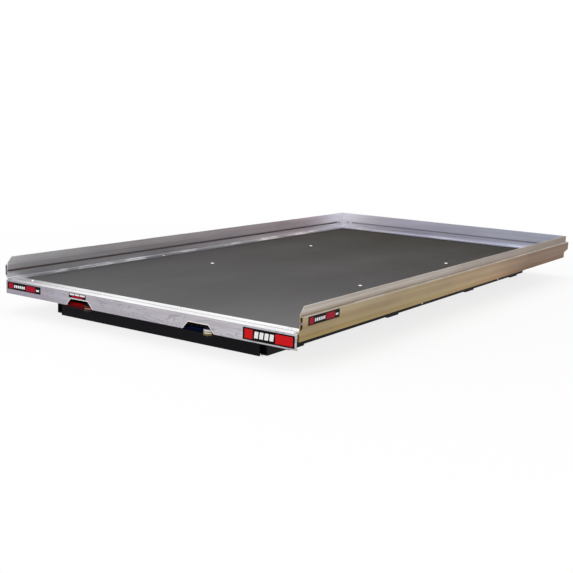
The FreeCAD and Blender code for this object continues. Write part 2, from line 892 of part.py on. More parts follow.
def keeper(pivot_x):
    """Staple on the front crossmember. The latch pin locks into its opening."""
    near = pivot_x + pin_reach + keeper_gap
    top = pin_height + pin_radius + keeper_top_margin
    body = block(
        (near, near + keeper_length),
        (back(pin_place - keeper_half_width), back(pin_place + keeper_half_width)),
        (cross_height, top),
    )
    long_edges = [e for e in body.Edges if e.BoundBox.XLength > keeper_length / 2]
    edges = [e for e in long_edges if e.BoundBox.ZMin > pin_height]
    body = body.makeFillet(keeper_top_margin / 2, edges)
    half = pin_radius + keeper_play
    opening = block(
        (near - cut_margin, near + keeper_length + cut_margin),
        (back(pin_place - half), back(pin_place + half)),
        (cross_height - cut_margin, pin_height + half),
    )
    return body.cut(opening)


os.makedirs("parts", exist_ok=True)

right_rail = side_rail()
save("right_side_rail", right_rail)
save("left_side_rail", mirrored(right_rail))
save("rear_rail", rear_rail())
save("front_channel", front_channel())
save("deck_panel", deck_panel())

front_end = panel_top - screw_bite
rail_end = rail_bottom - screw_drop
save("front_flange_screws", *[wood_screw(x, y, flange_top, front_end) for x, y in front_bolt_points()])
side_screws = [wood_screw(x, y, lip_top, rail_end) for x, y in side_screw_points()]
save("side_rail_screws", *both_sides(side_screws))
save("rear_rail_screws", *[wood_screw(x, y, lip_top, rail_end) for x, y in rear_screw_points()])
save("deck_bolts", *[deck_bolt(x, y) for x, y in deck_bolt_points()])
save("deck_nuts", *[deck_nut(x, y) for x, y in deck_bolt_points()])

right_bracket = corner_bracket()
save("right_corner_bracket", right_bracket)
save("left_corner_bracket", mirrored(right_bracket))
save("corner_bracket_bolts", *both_sides(bracket_bolts()))
save("corner_track_nuts", *both_sides(track_nuts()))

for name, place in zip(("front", "middle", "rear"), brace_places + (rear_brace_place,)):
    save(name + "_brace", brace(place))
right_channel = slide_channel()
save("right_slide_channel", right_channel)
save("left_slide_channel", mirrored(right_channel))

front_stop_place = base_front + stop_setback
front_bumper_nose = front_stop_place + stop_thickness + bumper_length
rear_stop_place = base_rear - stop_thickness
rear_bumper_nose = rear_stop_place - bumper_length
open_lug = lug(front_bumper_nose + stop_play + travel)
closed_lug = lug(rear_bumper_nose - stop_play - lug_thickness)
save("stop_lugs", *both_sides([open_lug, closed_lug]))

right_base = base_rail()
save("right_base_rail", right_base)
save("left_base_rail", mirrored(right_base))
for name, place in zip(("front", "front_middle", "rear_middle", "rear"), cross_places):
    save(name + "_crossmember", crossmember(place))
feet = [foot(place) for place in foot_places]
save("right_feet", *feet)
save("left_feet", *[mirrored(shape) for shape in feet])
save("stop_blocks", *both_sides([stop_block(front_stop_place), stop_block(rear_stop_place)]))
open_bumper = bumper(front_stop_place + stop_thickness, 1)
closed_bumper = bumper(rear_stop_place, -1)
save("stop_bumpers", *both_sides([open_bumper, closed_bumper]))

for number, place in enumerate(bearing_places, 1):
    right_bearing = bearing(place)
    save("right_bearing_%d" % number, right_bearing)
    save("left_bearing_%d" % number, mirrored(right_bearing))
save("bearing_bolts", *both_sides([axle_bolt(place) for place in bearing_places]))
save("bearing_spacers", *both_sides([axle_spacer(place) for place in bearing_places]))
save("bearing_nuts", *both_sides([axle_nut(place) for place in bearing_places]))

pivots = [side * hand_hole_centre + pivot_offset for side in lever_sides]
for name, pivot_x in zip(lever_names, pivots):
    save(name + "_latch_bracket", latch_bracket(pivot_x))
    save(name + "_lever", lever(pivot_x))
    save(name + "_grip", grip(pivot_x))
    save(name + "_latch_pin", latch_pin(pivot_x))
    save(name + "_keeper", keeper(pivot_x))
save("pivot_studs", *[pivot_stud(x) for x in pivots])
save("pivot_spacers", *[pivot_spacer(x) for x in pivots])
save("upper_pivot_washers", *[pivot_washer(x, washer_top) for x in pivots])
save("lower_pivot_washers", *[pivot_washer(x, lower_washer_top) for x in pivots])
save("pivot_nuts", *[pivot_nut(x) for x in pivots])
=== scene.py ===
# %% [markdown]
# # A truck bed slide, dressed from its CAD frame
#
# The frame holds every rigid piece at its true place and size. This lesson gives each
# one its finish, rounds the edges that a maker would break, and adds the small things
# that CAD leaves out: print plates, domed screw heads, weld beads and latch springs.
# All lengths are in metres, +Y points to the cab, and the front is the tailgate end.

# %% Load the frame
import json
import math

import bmesh
import bpy
import numpy as np
from mathutils import Matrix, Vector


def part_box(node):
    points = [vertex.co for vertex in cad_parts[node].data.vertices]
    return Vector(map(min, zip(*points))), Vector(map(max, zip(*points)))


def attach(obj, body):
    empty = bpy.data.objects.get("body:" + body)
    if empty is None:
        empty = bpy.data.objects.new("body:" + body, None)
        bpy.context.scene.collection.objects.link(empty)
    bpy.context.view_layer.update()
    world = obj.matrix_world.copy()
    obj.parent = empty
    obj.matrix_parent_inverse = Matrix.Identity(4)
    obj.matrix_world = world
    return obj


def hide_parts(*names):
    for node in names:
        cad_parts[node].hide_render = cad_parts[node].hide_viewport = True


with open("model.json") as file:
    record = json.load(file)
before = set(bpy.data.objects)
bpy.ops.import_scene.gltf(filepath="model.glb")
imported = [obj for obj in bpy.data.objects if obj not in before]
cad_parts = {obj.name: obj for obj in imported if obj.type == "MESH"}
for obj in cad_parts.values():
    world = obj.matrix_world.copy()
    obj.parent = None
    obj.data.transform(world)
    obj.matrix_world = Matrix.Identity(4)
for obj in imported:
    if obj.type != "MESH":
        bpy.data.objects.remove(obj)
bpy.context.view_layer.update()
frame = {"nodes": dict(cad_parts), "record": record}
nodes = frame["nodes"]
bodies = frame["record"]["behaviour"]["bodies"]
body_by_node = {node: body for body, members in bodies.items() for node in members}
slot_by_node = {row["node"]: row["material_slot"] for row in frame["record"]["subparts"]}
MM = 0.001

# %% [markdown]
# ## The camera
#
# The photograph was taken from the front right, a little above the tray. Its straight
# edges fix one camera: where it stood, where it looked and how long its lens was. The
# camera is set first, because every later choice is judged through it.

# %% Camera
CAMERA_PLACE = Vector((2.0603, -3.3931, 0.7400))
CAMERA_YAW = 33.657
CAMERA_PITCH = 10.426
CAMERA_ROLL = 2.1515
CAMERA_LENS = 61.411


def aim(place, yaw, pitch, roll):
    """Matrix of a camera at place. Yaw turns it from +Y towards -X, pitch tips it down,
    and roll turns the picture about the line of sight, all in degrees."""
    a, b, c = (math.radians(v) for v in (yaw, pitch, roll))
    ahead = Vector((-math.sin(a) * math.cos(b), math.cos(a) * math.cos(b), -math.sin(b)))
    right = ahead.cross(Vector((0, 0, 1))).normalized()
    up = right.cross(ahead)
    turned_right = right * math.cos(c) + up * math.sin(c)
    turned_up = up * math.cos(c) - right * math.sin(c)
    axes = Matrix((turned_right, turned_up, -ahead)).transposed().to_4x4()
    return Matrix.Translation(place) @ axes


lens = bpy.data.cameras.new("camera")
lens.lens = CAMERA_LENS
lens.clip_start = 0.05
camera = bpy.data.objects.new("camera", lens)
bpy.context.scene.collection.objects.link(camera)
camera.matrix_world = aim(CAMERA_PLACE, CAMERA_YAW, CAMERA_PITCH, CAMERA_ROLL)
bpy.context.scene.camera = camera

# %% [markdown]
# ## Helpers for finishes
#
# Every finish starts from the Principled shader and reads Object coordinates, so that a
# pattern stays put on its piece when the piece moves. The helper below keeps each
# finish short: it makes a node, sets its values by name and links its inputs.

# %% Finish kit
class Finish:
    """A material under construction."""

    def __init__(self, name, colour, roughness, metallic=0.0, coat=0.0, gloss=0.5):
        self.material = bpy.data.materials.new(name)
        self.material.use_nodes = True
        self.tree = self.material.node_tree
        self.shader = self.tree.nodes["Principled BSDF"]
        values = {
            "Base Color": (*colour, 1.0),
            "Roughness": roughness,
            "Metallic": metallic,
            "Coat Weight": coat,
            "Specular IOR Level": gloss,
        }
        for key, value in values.items():
            self.shader.inputs[key].default_value = value
        self.place = self.add("ShaderNodeTexCoord").outputs["Object"]

    def add(self, kind, links=(), **values):
        """A new node. links are (input, socket) pairs, and values set its properties."""
        node = self.tree.nodes.new(kind)
        for key, value in values.items():
            if hasattr(node, key):
                setattr(node, key, value)
            else:
                node.inputs[key.title()].default_value = value
        for name, socket in links:
            self.tree.links.new(socket, node.inputs[name])
        return node

    def noise(self, scale, detail=3.0, offset=(0.0, 0.0, 0.0), distortion=0.0):
        """Noise from 0 to 1. scale is one number, or one for each of X, Y and Z."""
        mapping = self.add("ShaderNodeMapping", [("Vector", self.place)])
        mapping.inputs["Scale"].default_value = scale if isinstance(scale, tuple) else (scale,) * 3
        mapping.inputs["Location"].default_value = offset
        links = [("Vector", mapping.outputs["Vector"])]
        node = self.add("ShaderNodeTexNoise", links, scale=1.0, detail=detail, distortion=distortion)
        return node.outputs["Fac"]

    def spread(self, socket, low, high, from_low=0.3, from_high=0.7):
        """Maps a value to the range low to high, held at its ends."""
        node = self.add("ShaderNodeMapRange", [("Value", socket)])
        limits = {"From Min": from_low, "From Max": from_high, "To Min": low, "To Max": high}
        for key, value in limits.items():
            node.inputs[key].default_value = value
        return node.outputs["Result"]

    def maths(self, operation, first, second=0.0):
        node = self.add("ShaderNodeMath", operation=operation)
        for index, value in enumerate((first, second)):
            if isinstance(value, (int, float)):
                node.inputs[index].default_value = value
            else:
                self.tree.links.new(value, node.inputs[index])
        return node.outputs["Value"]

    def blend(self, amount, first, second, way="MIX"):
        """Mixes two colours. Each is a socket or three numbers."""
        node = self.add("ShaderNodeMix", data_type="RGBA", blend_type=way)
        self.tree.links.new(amount, node.inputs["Factor"])
        for key, value in (("A", first), ("B", second)):
            socket = [s for s in node.inputs if s.name == key and s.type == "RGBA"][0]
            if isinstance(value, (tuple, list)):
                socket.default_value = (*value, 1.0)
            else:
                self.tree.links.new(value, socket)
        return [s for s in node.outputs if s.type == "RGBA"][0]

    def along(self, axis):
        """One of the Object coordinates, in metres."""
        return self.add("ShaderNodeSeparateXYZ", [("Vector", self.place)]).outputs[axis]

    def facing(self, axis):
        """How far the surface faces along an axis, from -1 to 1."""
        normal = self.add("ShaderNodeNewGeometry").outputs["Normal"]
        return self.add("ShaderNodeSeparateXYZ", [("Vector", normal)]).outputs[axis]

    def band(self, socket, low, high, edge):
        """1 where a value lies between low and high, with soft edges, and 0 elsewhere."""
        rising = self.spread(socket, 0.0, 1.0, low - edge, low + edge)
        falling = self.spread(socket, 1.0, 0.0, high - edge, high + edge)
        return self.maths("MULTIPLY", rising, falling)

    def set(self, name, socket):
        self.tree.links.new(socket, self.shader.inputs[name])

    def bump(self, socket, height, strength=0.5):
        """Bump from a value, with its height in metres, on top of any bump so far."""
        node = self.add("ShaderNodeBump", [("Height", socket)])
        node.inputs["Strength"].default_value = strength
        node.inputs["Distance"].default_value = height
        before = self.shader.inputs["Normal"]
        if before.is_linked:
            self.tree.links.new(before.links[0].from_socket, node.inputs["Normal"])
        self.tree.links.new(node.outputs["Normal"], before)


def shaded(colour, factor):
    """A colour made darker or lighter by a factor."""
    return tuple(min(1.0, c * factor) for c in colour)


# %% [markdown]
# ## Mill-finish aluminium
#
# The rails come from an extrusion press, which leaves fine die lines all along them.
# Noise that is stretched along the run and squeezed across it gives those lines, in the
# roughness and in a very shallow bump. The faces that look up take a tone of their own
# and bright patches, which are painted light and painted reflection, and the faces that
# look down keep the rail's tone. The walls inside each track get painted shade, and a
# painted glow brightens the metal at the far corner. Each rail's tone also changes along
# its run and below its fin as painted reflection and shade: the near rail turns warm
# below its fin, deepening to the cab end.

# %% Aluminium finishes
FIN_FOOT = 0.163
RAIL_FOOT = 0.092
TRACK_WALL = 0.6092
TRACK_FLOOR = 0.1148
TRACK_SLOPE = 1.28
TRACK_HIGH = 0.1604
# Painted shade for the walls inside a rail's track.
TRACK_SHADE = (0.12, 0.11, 0.115)
TRACK_OPEN_END = -1.149
CAB_END = 1.13
CAB_WALL = 1.1364
TAILGATE_END = -1.14
SIDE_END = 0.6
MIDDLE_REACH = (-0.30, 0.35)
FAR_REACH = (0.20, 0.65)
CORNER_REACH = (0.12, 0.38)
# Painted highlight colours: for faces that look up and their bright patches, and for the glow at the far
# corner.
HIGHLIGHT_METAL = (0.93, 0.93, 0.94)
CORNER_GLOW_METAL = (0.94, 0.93, 1.0)
CLOUD_TONE = (0.70, 0.68, 0.68)
STREAK_TONE = (0.90, 0.89, 0.90)


def in_track(finish, run):
    """1 on the walls inside a rail's hollow track, which get painted shade, else 0. They
    lie between its mouth wall and its outer wall, and above its sloping floor."""
    if run == "Y":
        depth = finish.maths("ABSOLUTE", finish.along("X"))
        start, end = TRACK_WALL, TRACK_WALL + 0.0099
    else:
        depth = finish.along("Y")
        start, end = CAB_WALL, CAB_WALL + 0.0099
    height = finish.along("Z")
    rise = finish.maths("MULTIPLY", finish.maths("SUBTRACT", depth, start), TRACK_SLOPE)
    over_floor = finish.maths("SUBTRACT", height, rise)
    above = finish.spread(over_floor, 0.0, 1.0, TRACK_FLOOR, TRACK_FLOOR + 0.0004)
    inside = finish.band(depth, start, end, 0.00005)
    low = finish.spread(height, 1.0, 0.0, TRACK_HIGH, TRACK_HIGH + 0.0004)
    from_mouth = finish.maths("SUBTRACT", finish.along("Y"), TRACK_OPEN_END)
    deep = finish.spread(from_mouth, 0.0, 1.0, 0.012, 0.020)
    across = finish.maths("MULTIPLY", inside, low)
    return finish.maths("MULTIPLY", across, finish.maths("MULTIPLY", above, deep))


def aluminium(name, run, near, far=None, roughness=0.34, metallic=1.0, **tones):
    """Extruded aluminium with die lines along the axis run. near and far are its tones
    at the start and the end of the run, a painted reflection and shade. tones may hold
    low_near, low_middle and low_far for the parts below the fin, also painted reflection
    and shade; upward, a painted light tone for its faces that look up; outward for
    the side that looks away from the deck; dirt, the painted shade of its track;
    and streak for its broad bands. rubbed says how bright the patches of painted
    reflection on the faces that look up are, and corner is the place along the run where
    a painted glow brightens the metal."""
    finish = Finish(name, near, roughness, metallic=metallic)
    index = "XYZ".index(run)
    fine = [900.0] * 3
    broad = [70.0] * 3
    fine[index] = 1.2
    broad[index] = 0.5
    lines = finish.noise(tuple(fine), detail=2.0)
    bands = finish.noise(tuple(broad), detail=2.0, offset=(3.1, 1.7, 0.4))
    long = [22.0] * 3
    long[index] = 4.0
    clouds = finish.noise(tuple(long), detail=4.0, offset=(7.0, 2.0, 1.0))
    ends = (TAILGATE_END, CAB_END) if run == "Y" else (-SIDE_END, SIDE_END)
    # Painted reflection and shade: the tone runs from near to far along the run.
    distance = finish.spread(finish.along(run), 0.0, 1.0, *ends)
    tone = finish.blend(distance, near, far or near)
    # Painted reflection and shade: the parts below the fin take their own tones.
    if "low_near" in tones:
        reach = finish.spread(finish.along("Y"), 0.0, 1.0, *MIDDLE_REACH)
        lower = finish.blend(reach, tones["low_near"], tones["low_middle"])
        reach = finish.spread(finish.along("Y"), 0.0, 1.0, *FAR_REACH)
        lower = finish.blend(reach, lower, tones["low_far"])
        above = finish.spread(finish.along("Z"), 0.0, 0.35, RAIL_FOOT, FIN_FOOT)
        on_fin = finish.spread(finish.along("Z"), 0.0, 1.0, FIN_FOOT - 0.0005, FIN_FOOT)
        tone = finish.blend(finish.maths("MAXIMUM", above, on_fin), lower, tone)
    # Painted highlight: a pale glow on the metal round the far corner.
    if "corner" in tones:
        from_corner = finish.maths("SUBTRACT", finish.along(run), tones["corner"])
        from_corner = finish.maths("ABSOLUTE", from_corner)
        corner_glow = finish.spread(from_corner, 1.0, 0.0, *CORNER_REACH)
        tone = finish.blend(corner_glow, tone, CORNER_GLOW_METAL)
    streak = tones.get("streak", STREAK_TONE)
    tone = finish.blend(finish.spread(bands, 0.0, 1.0, 0.35, 0.65), tone, streak, "MULTIPLY")
    tone = finish.blend(finish.spread(clouds, 0.0, 0.55), tone, CLOUD_TONE, "MULTIPLY")
    glint_scale = [30.0] * 3
    glint_scale[index] = 6.0
    patches = finish.noise(tuple(glint_scale), detail=5.0, offset=(1.3, 0.2, 5.0))
    if "outward" in tones:
        side = finish.facing("X") if run == "Y" else finish.maths("MULTIPLY", finish.facing("Y"), -1.0)
        tone = finish.blend(finish.spread(side, 1.0, 0.0, -0.6, -0.2), tone, tones["outward"])
    # Painted light: faces that look up take their own tone, and patches of painted reflection brighten
    # them.
    up = finish.spread(finish.facing("Z"), 0.0, 1.0, 0.25, 0.8)
    tone = finish.blend(up, tone, tones.get("upward", HIGHLIGHT_METAL))
    glint_patches = finish.spread(patches, 0.0, tones.get("rubbed", 0.65), 0.49, 0.58)
    tone = finish.blend(finish.maths("MULTIPLY", up, glint_patches), tone, HIGHLIGHT_METAL)
    # Painted shade: the walls inside the track are darkened.
    tone = finish.blend(in_track(finish, run), tone, tones.get("dirt", TRACK_SHADE))
    finish.set("Base Color", tone)
    finish.set("Roughness", finish.spread(lines, roughness - 0.07, roughness + 0.09))
    finish.bump(lines, 0.00004)
    finish.shader.inputs["Anisotropic"].default_value = 0.3
    return finish


# The near and far tones and the tones below the fin are painted reflection and shade.
left_finish = aluminium(
    "left_rail_aluminium",
    "Y",
    near=(0.92, 0.92, 0.95),
    far=(0.92, 0.76, 0.79),
    low_near=(0.55, 0.55, 0.58),
    low_middle=(0.80, 0.76, 0.79),
    low_far=(0.88, 0.78, 0.81),
    corner=CAB_WALL,
    upward=(0.20, 0.21, 0.23),
    rubbed=0.95,
    outward=(0.52, 0.51, 0.53),
    dirt=(0.30, 0.24, 0.23),
    roughness=0.38,
    metallic=0.75,
)
rear_finish = aluminium(
    "rear_rail_aluminium",
    "X",
    near=(0.86, 0.82, 1.00),
    far=(0.74, 0.79, 0.96),
    corner=-TRACK_WALL,
    upward=(0.22, 0.24, 0.29),
    rubbed=0.5,
    outward=(0.52, 0.51, 0.55),
    dirt=(0.44, 0.41, 0.52),
    roughness=0.38,
    metallic=0.75,
)
# Painted reflection and shade: the near rail turns warm and dark below its fin, most at the cab end.
right_finish = aluminium(
    "right_rail_aluminium",
    "Y",
    near=(0.55, 0.51, 0.465),
    far=(0.29, 0.235, 0.205),
    low_near=(0.395, 0.29, 0.115),
    low_middle=(0.46, 0.29, 0.13),
    low_far=(0.18, 0.070, 0.004),
    upward=(0.42, 0.37, 0.32),
    streak=(0.80, 0.72, 0.62),
    dirt=(0.45, 0.42, 0.38),
    rubbed=0.2,
    roughness=0.36,
    metallic=0.9,
)

# %% [markdown]
# ## The front channel's face
#
# The face was handled while wet, and the drops dried to faint wandering rings, much like
# a map's contour lines. A slow noise, multiplied and put through a sine, draws such
# contours. The face is greyest at its left end and brightens to the right, a painted
# reflection. The flange top takes a near-white painted highlight, and a dark line across
# it is painted shade.

# %% Front channel finish
FACE_LEFT = (0.40, 0.375, 0.435)
FACE_RIGHT = (0.585, 0.565, 0.605)
FACE_TOP = 0.1105
FACE_FRONT = -1.1492


def face_aluminium():
    # Painted highlight: the flange top and other faces that look up take a near-white tone.
    finish = aluminium("face_aluminium", "X", FACE_LEFT, roughness=0.33, upward=(0.82, 0.82, 0.83))
    shader = finish.shader.inputs["Base Color"]
    tone = shader.links[0].from_socket
    # Painted reflection: the face brightens from its left end to its right.
    across = finish.spread(finish.along("X"), 0.0, 1.0, -0.6, 0.15)
    gain = finish.blend(across, (1.0, 1.0, 1.0), tuple(b / a for a, b in zip(FACE_LEFT, FACE_RIGHT)))
    on_face = finish.spread(finish.along("Z"), 1.0, 0.0, FACE_TOP, FACE_TOP + 0.001)
    graded = finish.blend(finish.maths("ADD", 1.0), tone, gain, "MULTIPLY")
    tone = finish.blend(on_face, tone, graded)
    field = finish.noise((6.0, 6.0, 24.0), detail=1.5, offset=(0.6, 0.0, 2.3), distortion=0.9)
    wave = finish.maths("ABSOLUTE", finish.maths("SINE", finish.maths("MULTIPLY", field, 30.0)))
    ring = finish.maths("MULTIPLY", finish.spread(wave, 0.65, 0.0, 0.0, 0.45), on_face)
    tone = finish.blend(ring, tone, (0.26, 0.24, 0.30))
    # Painted shade: a dark line across the flange top.
    groove_shade = finish.band(finish.along("Y"), FACE_FRONT + 0.0325, FACE_FRONT + 0.0355, 0.0002)
    finish.set("Base Color", finish.blend(groove_shade, tone, (0.20, 0.20, 0.21)))
    return finish


face_finish = face_aluminium()

# %% [markdown]
# ## The deck coating
#
# The plywood is coated with a matt, fine-grained wear layer. It shows almost no gloss, a
# very fine grain, and slow changes of tone where cargo has polished it. The tone is
# neutral at the tailgate end and darker and browner at the cab end, a painted shade, and
# a painted sheen lightens it near the tailgate at the right. Below the coating the panel's
# edge shows its plies, and its underside the plain brown face veneer.

# %% Deck finish
DECK_NEAR = (0.112, 0.109, 0.114)
DECK_FAR = (0.042, 0.037, 0.030)
PANEL_TOP = 0.109
PANEL_BOTTOM = 0.091


def deck_coating():
    finish = Finish("deck_coating", DECK_NEAR, 0.62, gloss=0.03)
    height = finish.along("Z")
    # Painted shade: the tone darkens and browns from the tailgate end to the cab end.
    distance = finish.spread(finish.along("Y"), 0.0, 1.0, TAILGATE_END, CAB_END)
    tone = finish.blend(distance, DECK_NEAR, DECK_FAR)
    # Painted sheen: a lighter tone at the right near the tailgate end.
    right = finish.spread(finish.along("X"), 0.0, 1.0, 0.0, 0.6)
    front = finish.spread(finish.along("Y"), 1.0, 0.0, TAILGATE_END, TAILGATE_END + 0.75)
    tone = finish.blend(finish.maths("MULTIPLY", right, front), tone, (0.19, 0.185, 0.187))
    grain = finish.noise(1400.0, detail=2.0)
    polish = finish.noise((3.0, 1.6, 3.0), detail=5.0, offset=(2.0, 5.0, 0.0))
    scuffs = finish.noise((130.0, 3.0, 3.0), detail=3.0, offset=(0.5, 0.5, 0.0))
    tone = finish.blend(finish.spread(grain, 0.0, 0.22), tone, (0.02, 0.02, 0.02))
    tone = finish.blend(finish.spread(polish, 0.0, 0.07), tone, (0.24, 0.235, 0.23))
    tone = finish.blend(finish.spread(scuffs, 0.0, 0.05, 0.6, 0.8), tone, (0.35, 0.35, 0.34))
    plies = finish.maths("SINE", finish.maths("MULTIPLY", height, math.tau / 0.004))
    ply = finish.blend(finish.spread(plies, 0.0, 1.0, -0.2, 0.2), (0.33, 0.22, 0.12), (0.20, 0.12, 0.06))
    veneer_grain = finish.noise((3.0, 60.0, 3.0), detail=5.0, distortion=0.6)
    veneer = finish.blend(finish.spread(veneer_grain, 0.0, 1.0), (0.20, 0.115, 0.06), (0.34, 0.22, 0.13))
    wood = finish.blend(finish.spread(height, 0.0, 1.0, PANEL_BOTTOM, PANEL_BOTTOM + 0.0004), veneer, ply)
    coated = finish.spread(height, 0.0, 1.0, PANEL_TOP - 0.0014, PANEL_TOP - 0.0008)
    finish.set("Base Color", finish.blend(coated, wood, tone))
    finish.set("Roughness", finish.spread(polish, 0.78, 0.66))
    finish.bump(grain, 0.00012)
    return finish


deck_finish = deck_coating()

# %% [markdown]
# ## Powder coat, zinc, brass, rubber and vinyl
#
# Powder coat flows into a skin like orange peel, so it gets soft bumps a few
# millimetres wide. Zinc plating is bright and cloudy. The dipped grips are smooth with a
# soft gloss, the rubber is dull, and ink lies evenly with a slight wave in its gloss.
# Painted shade darkens the grips' undersides, the left washers, the red lever, the line
# between the blue lever's plates, and the pivot parts and springs behind the hand holes.

# %% Steel, rubber, vinyl and ink finishes
EDGE_METAL = (0.82, 0.78, 0.79)
DULL_EDGE = (0.62, 0.56, 0.57)
YELLOW_ZINC = (0.62, 0.55, 0.38)
# Painted shade: the next three colours darken the red lever, the line between the blue lever's plates and
# the left washers.
RED_LEVER_SHADE = (0.05, 0.004, 0.006)
PLATE_GAP_SHADE = (0.12, 0.11, 0.115)
LEFT_WASHER_SHADE = (0.05, 0.03, 0.03)
FRESH_INK = (0.30, 0.612)


def powder_coat(name, colour):
    finish = Finish(name, colour, 0.55, gloss=0.08)
    peel = finish.noise(420.0, detail=1.0)
    dust = finish.noise(22.0, detail=5.0)
    finish.set("Roughness", finish.spread(dust, 0.46, 0.58))
    finish.set("Base Color", finish.blend(finish.spread(dust, 0.0, 0.5), colour, shaded(colour, 1.9)))
    finish.bump(peel, 0.00012)
    return finish


def plated(name, colour, roughness):
    finish = Finish(name, colour, roughness, metallic=1.0)
    cloud = finish.noise(160.0, detail=4.0)
    scratch = finish.noise((2600.0, 240.0, 2600.0), detail=1.0)
    finish.set("Base Color", finish.blend(finish.spread(cloud, 0.0, 0.5), colour, shaded(colour, 0.72)))
    finish.set("Roughness", finish.spread(cloud, roughness - 0.06, roughness + 0.12))
    finish.bump(scratch, 0.00002)
    return finish


def lever_plating(name, upper, line, lower, low, high):
    """A lever is two plates. Each has its own colour, and a line from the height low to
    the height high parts them."""
    finish = plated(name, upper, 0.3)
    tone = finish.shader.inputs["Base Color"].links[0].from_socket
    height = finish.along("Z")
    tone = finish.blend(finish.spread(height, 1.0, 0.0, low, low + 0.0002), tone, lower)
    tone = finish.blend(finish.band(height, low, high, 0.0001), tone, line)
    finish.set("Base Color", tone)
    return finish


def washer_plating(name, colour):
    """Plating of a pair of washers. Painted shade darkens the left one."""
    finish = plated(name, colour, 0.26)
    tone = finish.shader.inputs["Base Color"].links[0].from_socket
    # Painted shade on the left washer.
    left = finish.spread(finish.along("X"), 1.0, 0.0, -0.01, 0.01)
    finish.set("Base Color", finish.blend(left, tone, LEFT_WASHER_SHADE))
    return finish


def vinyl(name, colour):
    finish = Finish(name, colour, 0.42, gloss=0.02)
    ripple = finish.noise((60.0, 90.0, 90.0), detail=2.0)
    rub = finish.noise(240.0, detail=3.0)
    finish.set("Roughness", finish.spread(rub, 0.34, 0.48))
    tone = finish.blend(finish.spread(ripple, 0.0, 0.5), colour, shaded(colour, 0.5))
    # Painted shade: faces that look down turn nearly black.
    under = finish.spread(finish.facing("Z"), 1.0, 0.0, -0.30, 0.35)
    finish.set("Base Color", finish.blend(under, tone, shaded(colour, 0.10)))
    finish.bump(ripple, 0.0006, 0.3)
    return finish


def rubber(name):
    finish = Finish(name, (0.02, 0.02, 0.02), 0.7, gloss=0.15)
    skin = finish.noise(900.0, detail=2.0)
    finish.set("Roughness", finish.spread(skin, 0.62, 0.8))
    finish.bump(skin, 0.00008)
    return finish


def ink(name, colour, aged=None):
    """Ink on a plate. The plate at the right of the face keeps the fresh colour, and the
    others have the aged one where it is given."""
    finish = Finish(name, colour, 0.4, gloss=0.07)
    wave = finish.noise(180.0, detail=2.0)
    finish.set("Roughness", finish.spread(wave, 0.34, 0.5))
    fresh = finish.band(finish.along("X"), *FRESH_INK, 0.002)
    tone = finish.blend(fresh, aged or colour, colour)
    finish.set("Base Color", finish.blend(finish.spread(wave, 0.0, 0.2), tone, shaded(colour, 0.8)))
    return finish


def polished_edge():
    """Aluminium edge that a deburring tool left bright."""
    finish = Finish("polished_edge", EDGE_METAL, 0.3, metallic=1.0)
    chatter = finish.noise(700.0, detail=2.0)
    finish.set("Roughness", finish.spread(chatter, 0.2, 0.42))
    dull = finish.spread(chatter, 0.0, 0.3)
    finish.set("Base Color", finish.blend(dull, EDGE_METAL, DULL_EDGE))
    finish.bump(chatter, 0.00003)
    return finish


black_finish = powder_coat("black_powder_coat", (0.0055, 0.0045, 0.0070))
zinc_finish = plated("zinc_plate", (0.60, 0.60, 0.61), 0.28)
rubber_finish = rubber("moulded_rubber")
rim_finish = polished_edge()
ink_black = ink("ink_black", (0.002, 0.001, 0.0015))
ink_red = ink("ink_red", (0.60, 0.006, 0.010), (0.34, 0.003, 0.020))
ink_white = ink("ink_white", (0.86, 0.86, 0.87))
finish_by_slot = {
    "rail_aluminium": face_finish,
    "deck_coating": deck_finish,
    "base_black": black_finish,
    "zinc_steel": zinc_finish,
    "brass_washer": washer_plating("turned_brass", (0.15, 0.12, 0.055)),
    "bearing_steel": plated("bearing_steel", (0.56, 0.56, 0.57), 0.2),
    "rubber_black": rubber_finish,
    "grip_red": vinyl("red_vinyl", (0.26, 0.002, 0.005)),
    "grip_blue": vinyl("blue_vinyl", (0.001, 0.003, 0.030)),
}
# Painted shade: a black finish for the pivot parts and springs seen through the hand holes.
shade_black_finish = powder_coat("painted_shade_black", (0.010, 0.010, 0.011))
finish_by_node = {
    "left_side_rail": left_finish,
    "rear_rail": rear_finish,
    "right_side_rail": right_finish,
    "left_corner_bracket": rear_finish,
    "right_corner_bracket": rear_finish,
    # Painted shade: the pivot's nuts, studs and spacers take the black finish.
    "pivot_nuts": shade_black_finish,
    "pivot_studs": shade_black_finish,
    "pivot_spacers": shade_black_finish,
    # Painted shade: the red lever is dark red above its yellow line and near black below it.
    "red_lever": lever_plating(
        "red_lever_plating", (0.20, 0.006, 0.010), YELLOW_ZINC, RED_LEVER_SHADE, 0.0616, 0.0630
    ),
    # Painted shade: a dark line between the blue lever's plates.
    "blue_lever": lever_plating(
        "blue_lever_plating", (0.60, 0.58, 0.62), PLATE_GAP_SHADE, YELLOW_ZINC, 0.0640, 0.0662
    ),
    "upper_pivot_washers": washer_plating("washer_zinc", (0.66, 0.63, 0.70)),
}


def finish_of(node):
    return finish_by_node.get(node, finish_by_slot[slot_by_node[node]])


def shade(mesh, degrees=35.0):
    """Smooth shading that keeps edges sharper than this angle."""
    mesh.shade_smooth()
    mesh.set_sharp_from_angle(angle=math.radians(degrees))


for node, piece in nodes.items():
    piece.data.materials.clear()
    piece.data.materials.append(finish_of(node).material)
    shade(piece.data)
print("finishes:", len(bpy.data.materials))

# %% [markdown]
# ## Broken edges on the sheet, plate and rail pieces
#
# A CAD corner is perfectly sharp, and a real one never is. Each plate piece is copied,
# its loose triangles are merged and its flat faces joined, and a Bevel modifier rounds
# every corner. The small round catches the light as the real edge does. Faces that
# carry print or a rim step back by the print's thickness, so that the box stays true.

# %% Rounded copies of CAD pieces
PRINT_STEP = 0.0003


